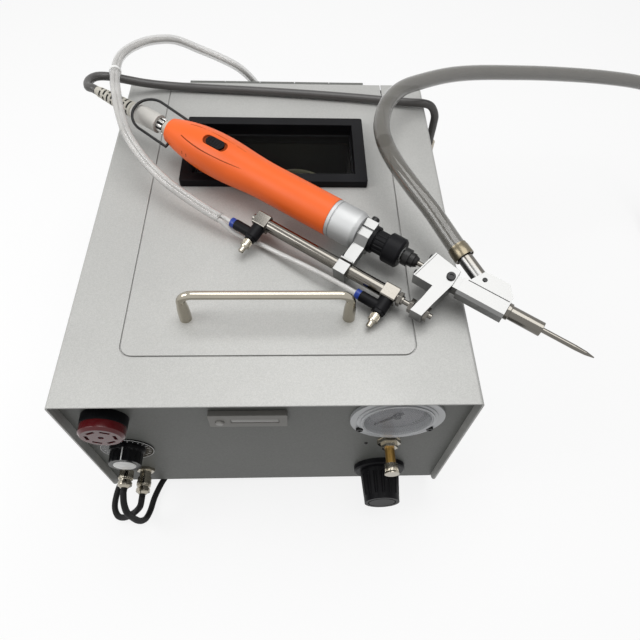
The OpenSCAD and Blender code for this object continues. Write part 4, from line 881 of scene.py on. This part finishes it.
class ControlsOperator(bpy.types.Operator):
    """Finishes the fittings of the front panel"""

    bl_idname = "feeder.controls"
    bl_label = "Front fittings"

    def execute(self, context):
        self.buzzer(panel_frame(*BUZZER))
        self.speed(panel_frame(*SPEED))
        self.counter(panel_frame(*COUNTER))
        self.gauge(panel_frame(*GAUGE))
        self.air(panel_frame(*AIR))
        self.plugs()
        return {"FINISHED"}

    def buzzer(self, face):
        eased("buzzer_base", "black")
        eased("buzzer_lens", "red")
        # the slots and the middle hole are drawn as dark red marks on the lens: painted shade
        slots = ring_of("buzzer_slot_shade", block("slot", (2.1, 6.9, 0.2), move(10.1, 0, 14.5), 0.05), 6, face)
        hole = turned("buzzer_hole", [(1.9, 14.5), (1.9, 14.7), (0.5, 14.7)], face, 24)
        fitted(joined("buzzer_slot_shade", [slots, hole]), "shaded_red", "buzzer_lens")

    def speed(self, face):
        eased("speed_scale", "gloss_black")
        eased("speed_knob", "gloss_black")
        fitted(turned("knob_cap", [(9, 14), (9, 14.9), (8.4, 15.2), (0.5, 15.3)], face), "white", "speed_knob")
        fitted(block("knob_pointer", (0.9, 0.6, 12.8), face @ move(0, 13.3, 1.6), 0.1), "white", "speed_knob")
        rim = turned("scale_rim", [(20.9, 1.1), (20.9, 1.35), (21.3, 1.35), (21.3, 1.1)], face, 64, True)
        ticks = ring_of("scale_ticks", block("tick", (2.4, 0.4, 0.15), move(18.2, 0, 1.15), 0.04), 21, face, 270, -45)
        fitted(joined("scale_marks", [rim, ticks]), "white", "speed_scale")

    def counter(self, face):
        eased("counter_case", "counter_grey")
        eased("counter_button", "counter_bar", edge=0.2 * MM)
        fitted(block("counter_window", (34.5, 5.2, 0.5), face @ move(5, 0, 3.7), 0.2), "counter_bar", "counter_case")

    def gauge(self, face):
        """The round gauge: a low stepped bezel and a thin glass over a grey dial, held by three screws."""
        case = eased("gauge_case", "gauge_grey")
        reshape(case, sunk(BEZEL_FROM, GAUGE_DROP))
        glass = eased("gauge_lens", "lens", edge=0.5 * MM)
        reshape(glass, sunk(GLASS_FROM, GAUGE_DROP))
        step = turned("gauge_step", [(28, 2.4), (30.4, 2.4), (30.4, 3.1), (29.9, 3.4), (28, 3.4)], face, 64, True)
        fitted(step, "gauge_grey", "gauge_case")
        painted("ink", "gauge_needle")
        dial = turned("gauge_dial", [(25.3, -2), (25.3, -1.75), (1.6, -1.75), (1.6, -2)], face, 64, True)
        fitted(dial, "dial", "gauge_case")
        ticks = ring_of("gauge_ticks", block("tick", (2.6, 0.4, 0.12), move(21.6, 0, -1.75), 0.03), 41, face, 270, -45)
        fitted(ticks, "ink", "gauge_case")
        screw = cap_screw("gauge_screw", move(31.5, 0, 2.5), radius=2.8 * MM, height=2.2)
        fitted(ring_of("gauge_screws", screw, 3, face, start=90), "dark_steel", "gauge_case")

    def air(self, face):
        valve = eased("valve_body", "brass", edge=0.2 * MM)
        part_look(valve, "nickel", lambda place: panel_out(place) < VALVE_NUT_OUT)
        eased("valve_knob", "nickel", edge=0.2 * MM)
        grip = ring_of("valve_grip", block("rib", (0.4, 0.6, 6.4), move(5.05, 0, 20.6), 0.1), 28, face)
        fitted(grip, "nickel", "valve_knob")
        eased("regulator_body", "black")
        reshape(eased("regulator_knob", "black"), sunk(KNOB_FROM, KNOB_DROP))
        fitted(pan_screw("panel_screw", panel_frame(*PANEL_SCREW), 1.6, 0.8), "dark_steel", "chassis")

    def plugs(self):
        eased("cable_sockets", "nickel", edge=0.2 * MM)
        eased("cable_plugs", "nickel", edge=0.2 * MM)
        for name, spot in (("upper", UPPER_PLUG), ("lower", LOWER_PLUG)):
            rib = block("rib", (0.4, 0.6, 3.4), move(6, 0, 11.8), 0.1)
            fitted(ring_of(name + "_plug_grip", rib, 24, panel_frame(*spot)), "nickel", "cable_plugs")


class RearOperator(bpy.types.Operator):
    """Finishes the rear and side fittings and what is inside the cabinet"""

    bl_idname = "feeder.rear"
    bl_label = "Rear and inside"

    def execute(self, context):
        for node, look in (("power_inlet", "black"), ("power_rocker", "red"), ("hose_outlet", "nickel"),
                           ("cable_grommets", "rubber"), ("side_fitting", "nickel")):
            eased(node, look)
        for node, look in (("screw_bin", "bin"), ("escapement", "zinc"), ("feed_bowl", "olive"),
                           ("bowl_motor", "motor"), ("control_unit", "circuit")):
            painted(look, node)
        return {"FINISHED"}


CONNECTOR_R, NECK_R = 7.6, 5.7
SWITCH_S = 62.5
POCKET_L, POCKET_W, POCKET_LOW, POCKET_HIGH = 26, 9.6, 16.5, 17.3
BOOT_SLOTS, BOOT_PITCH, SLOT_L = 8, 5, 2
SHELL_START, BULGE_S, WAIST_S = 8.5, 60, 116
TAIL_R, SHELL_R, SHELL_FRONT_R = 11, 18.8, 15.5
# Grooves and vents in the shell, drawn as dark strips of painted shade: the name, width in millimetres, then places as
# (s, degrees from the top towards the far side)
SEAMS = (
    ("lower_groove", 1.3, [(30, -24), (40, -30), (55, -34), (75, -33), (97, -27)]),
    ("upper_groove", 0.7, [(30, 24), (40, 27), (60, 27), (80, 26), (97, 24)]),
    ("side_groove", 0.6, [(84, 70), (105, 67), (130, 64), (155, 62), (176, 60)]),
    ("rear_vent", 1.2, [(34.5, -66), (34.5, -76)]),
    ("front_vent", 1.2, [(39.5, -66), (39.5, -76)]),
)


def shell_radius(s):
    """The shell's radius in millimetres: an arc up to the palm swell, a wave down to the waist, then straight."""
    run, rise = BULGE_S - SHELL_START, SHELL_R - TAIL_R
    arc = (run * run + rise * rise) / (2 * rise)
    if s < BULGE_S:
        return SHELL_R - arc + math.sqrt(arc * arc - (BULGE_S - s) ** 2)
    if s < WAIST_S:
        wave = (1 + math.cos(math.pi * (s - BULGE_S) / (WAIST_S - BULGE_S))) / 2
        return SHELL_FRONT_R + (SHELL_R - SHELL_FRONT_R) * wave
    return SHELL_FRONT_R


def on_shell(s, angle, depth):
    """A place a little under the shell's skin, the angle counted from the top towards the far side."""
    turn = math.radians(angle)
    r = shell_radius(s) - depth
    return on_tool(s, r * math.sin(turn), r * math.cos(turn))


class DriverOperator(bpy.types.Operator):
    """Finishes the electric driver of the hand tool"""

    bl_idname = "feeder.driver"
    bl_label = "Electric driver"

    def execute(self, context):
        self.shell()
        self.plug()
        eased("driver_switch", "black", edge=0.3 * MM)
        eased("front_ring", "satin")
        eased("torque_ring", "black")
        painted("motor", "driver_motor")
        painted("dark_steel", "hanging_bail")
        eased("bit_chuck", "dark_steel")
        painted("steel", "screwdriver_bit")
        return {"FINISHED"}

    def shell(self):
        """The two halves, their grooves and the two short vents; the grooves, the vents and the switch pocket's floor
        take a darkened orange as painted shade.
        """
        upper = eased("shell_upper", "orange", edge=0.15 * MM)
        part_look(upper, "shaded_orange", self.in_pocket_shade)
        eased("shell_lower", "orange", edge=0.15 * MM)
        for name, width, places in SEAMS:
            line = smooth_route([on_shell(s, angle, 0.36 * width) for s, angle in places])
            fitted(lay_cord(name, line, width * MM, "shaded_orange"), "shaded_orange", "shell_upper")

    # The faces of the switch pocket's floor, which get the painted shade
    def in_pocket_shade(self, place):
        s, y, z = tool_place(place)
        return abs(s - SWITCH_S) < POCKET_L / 2 and abs(y) < POCKET_W / 2 and POCKET_LOW < z < POCKET_HIGH

    def plug(self):
        """The cord's plug with its slim neck and toothed nut, and its slotted boot."""
        plug = eased("driver_plug", "pale", edge=0.2 * MM)
        reshape(plug, self.slim_neck)
        part_look(plug, "boot", lambda place: tool_place(place)[0] < PLUG_BACK)
        axis = tool_frame(0, up="along")
        inner, outer = NECK_R - 0.1, NECK_R + 0.1
        collar = turned("plug_collar", [(inner, 2), (6.7, 2), (7, 2.4), (7, 8.3), (inner, 8.3)], axis, 40, True)
        fitted(collar, "boot", "driver_plug")
        # Black rings under the nut's teeth and in the boot's slots stand for the shade in those gaps: painted shade
        dark = [turned("nut_base", [(inner, -5.6), (outer, -5.6), (outer, 1.8), (inner, 1.8)], axis, 40, True)]
        teeth = ring_of("nut_teeth", block("tooth", (1.2, 2.3, 6.4), move(NECK_R + 0.4, 0, -5.2), 0.3), 9, axis)
        fitted(teeth, "chrome", "driver_plug")
        bridges = []
        for k in range(BOOT_SLOTS):
            first = BOOT_BACK + BOOT_PITCH * k + 6
            last = first + SLOT_L
            r = 4.05 + 2.9 * (BOOT_PITCH * k + 8) / 48
            dark.append(turned("boot_slot", [(r - 0.3, first), (r, first), (r, last), (r - 0.3, last)], axis, 32, True))
            bridge = block("bridge", (0.8, 1.6, SLOT_L), move(r - 0.1, 0, first), 0.2)
            bridges.append(ring_of("boot_bridge", bridge, 4, axis, start=45 * (k % 2)))
        fitted(joined("plug_slot_shade", dark), "ink", "driver_plug")
        fitted(joined("boot_bridges", bridges), "boot", "driver_plug")

    def slim_neck(self, place):
        """Narrows the plug's front end, which is a plain cylinder in the solid."""
        s, y, z = tool_place(place)
        if s < PLUG_FRONT - 0.1 or math.hypot(y, z) > CONNECTOR_R + 0.3:
            return place
        return on_tool(s, y * NECK_R / CONNECTOR_R, z * NECK_R / CONNECTOR_R)


# Places on the tool as (s, y, z), in millimetres
CLAMP_SCREW, BLOCK_SCREW, HEAD_SCREW = (209.25, 10, 4.5), (282.8, -0.5, 7.5), (304.9, 10.7, 6)
PLATE_SCREWS = ((262.9, 9, 1), (259.2, -8, 1))
# The second place is where a dark strip along the feed head's step stands for its shade, painted shade
PLATE_SEAM, HEAD_STEP_SHADE = (262.3, -1, 7.48), (311.5, 3.6, 7.47)
ADJUSTER_OUT = 52.3
ARM_BEND_Y, ARM_BEND_REACH, ARM_SHIFT = -26, 1.2, 2.4
BRANCH_TOP = 17.1


class FeedOperator(bpy.types.Operator):
    """Finishes the clamp, the air cylinder, the slide and the feed head"""

    bl_idname = "feeder.feed"
    bl_label = "Feed head and cylinder"

    def execute(self, context):
        self.clamp_and_cylinder()
        self.slide()
        self.head()
        return {"FINISHED"}

    def clamp_and_cylinder(self):
        eased("clamp_bracket", "aluminium")
        screw = cap_screw("clamp_screw", tool_frame(*CLAMP_SCREW, "right"), height=4.5)
        fitted(screw, "dark_steel", "clamp_bracket")
        eased("air_cylinder", "steel", edge=0.25 * MM)
        eased("speed_controllers", "black")
        for name, s in (("rear", REAR_PORT), ("front", FRONT_PORT)):
            outline = [(2.2, 0), (4.1, 0), (4.1, 1.4), (3.95, 1.6), (3.95, 3.8), (2.2, 3.8)]
            mouth = turned(name + "_release_ring", outline, tool_frame(s, -PORT_OUT, 0, "along"), 32, True)
            fitted(mouth, "blue", "speed_controllers")
            self.adjuster(name + "_adjuster", tool_frame(s + PORT_RUN, -ADJUSTER_OUT, 0, "left"))

    def adjuster(self, node, place):
        """An adjusting screw with its knurled head, washer and slotted end."""
        eased(node, "nickel", edge=0.2 * MM)
        grip = ring_of("grip", block("rib", (0.4, 0.5, 5.2), move(3.45, 0, 0.2), 0.1), 18, place)
        washer = turned("washer", [(4.3, 5.3), (4.3, 6.2), (3.3, 6.2), (3.3, 5.3)], place, 32, True)
        end = turned("end", [(2.3, 7.2), (2.3, 11.4), (1.9, 11.9), (0.5, 11.9)], Matrix.Identity(4), 24)
        cut(end, [block("slot", (6, 0.9, 3), move(0, 0, 10.6), 0.1)])
        fitted(joined(node + "_grip", [grip, washer, settle(end, place)]), "nickel", node)

    def slide(self):
        eased("piston_rod", "steel", edge=0.2 * MM)
        reshape(eased("slide_block", "aluminium"), self.straight_arm)
        screws = [cap_screw("block_screw", tool_frame(*BLOCK_SCREW), radius=3.4 * MM, height=1.6)]
        screws += [cap_screw("plate_screw", tool_frame(*spot, "back"), radius=2.2 * MM, height=2.4)
                   for spot in PLATE_SCREWS]
        fitted(joined("slide_screws", screws), "dark_steel", "slide_block")
        seam = frame_of(on_tool(*PLATE_SEAM), 0.22 * TOOL_S + 0.976 * TOOL_Y, TOOL_Z)
        fitted(block("plate_seam", (24.4, 0.35, 0.08), seam, 0.02), "ink", "slide_block")

    def straight_arm(self, place):
        """Takes the bend out of the slide's arm, which the solid has halfway along it."""
        s, y, z = tool_place(place)
        return on_tool(s + ARM_SHIFT, y, z) if abs(y - ARM_BEND_Y) < ARM_BEND_REACH else place

    def head(self):
        head = eased("feed_head", "aluminium")
        part_look(head, "steel", lambda place: tool_place(place)[1] > BRANCH_TOP)
        hole = cap_screw("head_screw", tool_frame(*HEAD_SCREW), radius=1.9 * MM, height=0.5)
        # a dark steel strip along the step between the head's body and its branch: painted shade
        seam = block("head_step_shade", (33, 0.65, 0.12), tool_frame(*HEAD_STEP_SHADE), 0.02)
        fitted(joined("head_screw", [hole, seam]), "dark_steel", "feed_head")
        eased("bit_sleeve", "steel")


PIECES = (StageOperator, CordsOperator, CabinetOperator, ControlsOperator, RearOperator, DriverOperator, FeedOperator)


class FeederPanel(bpy.types.Panel):
    """Lists the groups of pieces and their colours"""

    bl_idname = "VIEW3D_PT_feeder"
    bl_label = "Screw feeder"
    bl_space_type = "VIEW_3D"
    bl_region_type = "UI"
    bl_category = "Screw feeder"

    def draw(self, context):
        for group in (context.scene.feeder_finish, context.scene.feeder_detail):
            for name in group.__annotations__:
                self.layout.prop(group, name)
        for operator in PIECES:
            self.layout.operator(operator.bl_idname)


CLASSES = (FinishSettings, DetailSettings) + PIECES + (FeederPanel,)


def register():
    for cls in CLASSES:
        bpy.utils.register_class(cls)
    bpy.types.Scene.feeder_finish = PointerProperty(type=FinishSettings)
    bpy.types.Scene.feeder_detail = PointerProperty(type=DetailSettings)


def unregister():
    del bpy.types.Scene.feeder_detail
    del bpy.types.Scene.feeder_finish
    for cls in reversed(CLASSES):
        bpy.utils.unregister_class(cls)


def main():
    register()
    LOOKS.update(make_materials())
    bpy.ops.feeder.stage()
    bpy.ops.feeder.cords()
    bpy.ops.feeder.cabinet()
    bpy.ops.feeder.controls()
    bpy.ops.feeder.rear()
    bpy.ops.feeder.driver()
    bpy.ops.feeder.feed()
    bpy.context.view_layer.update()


if __name__ == "__main__":
    main()
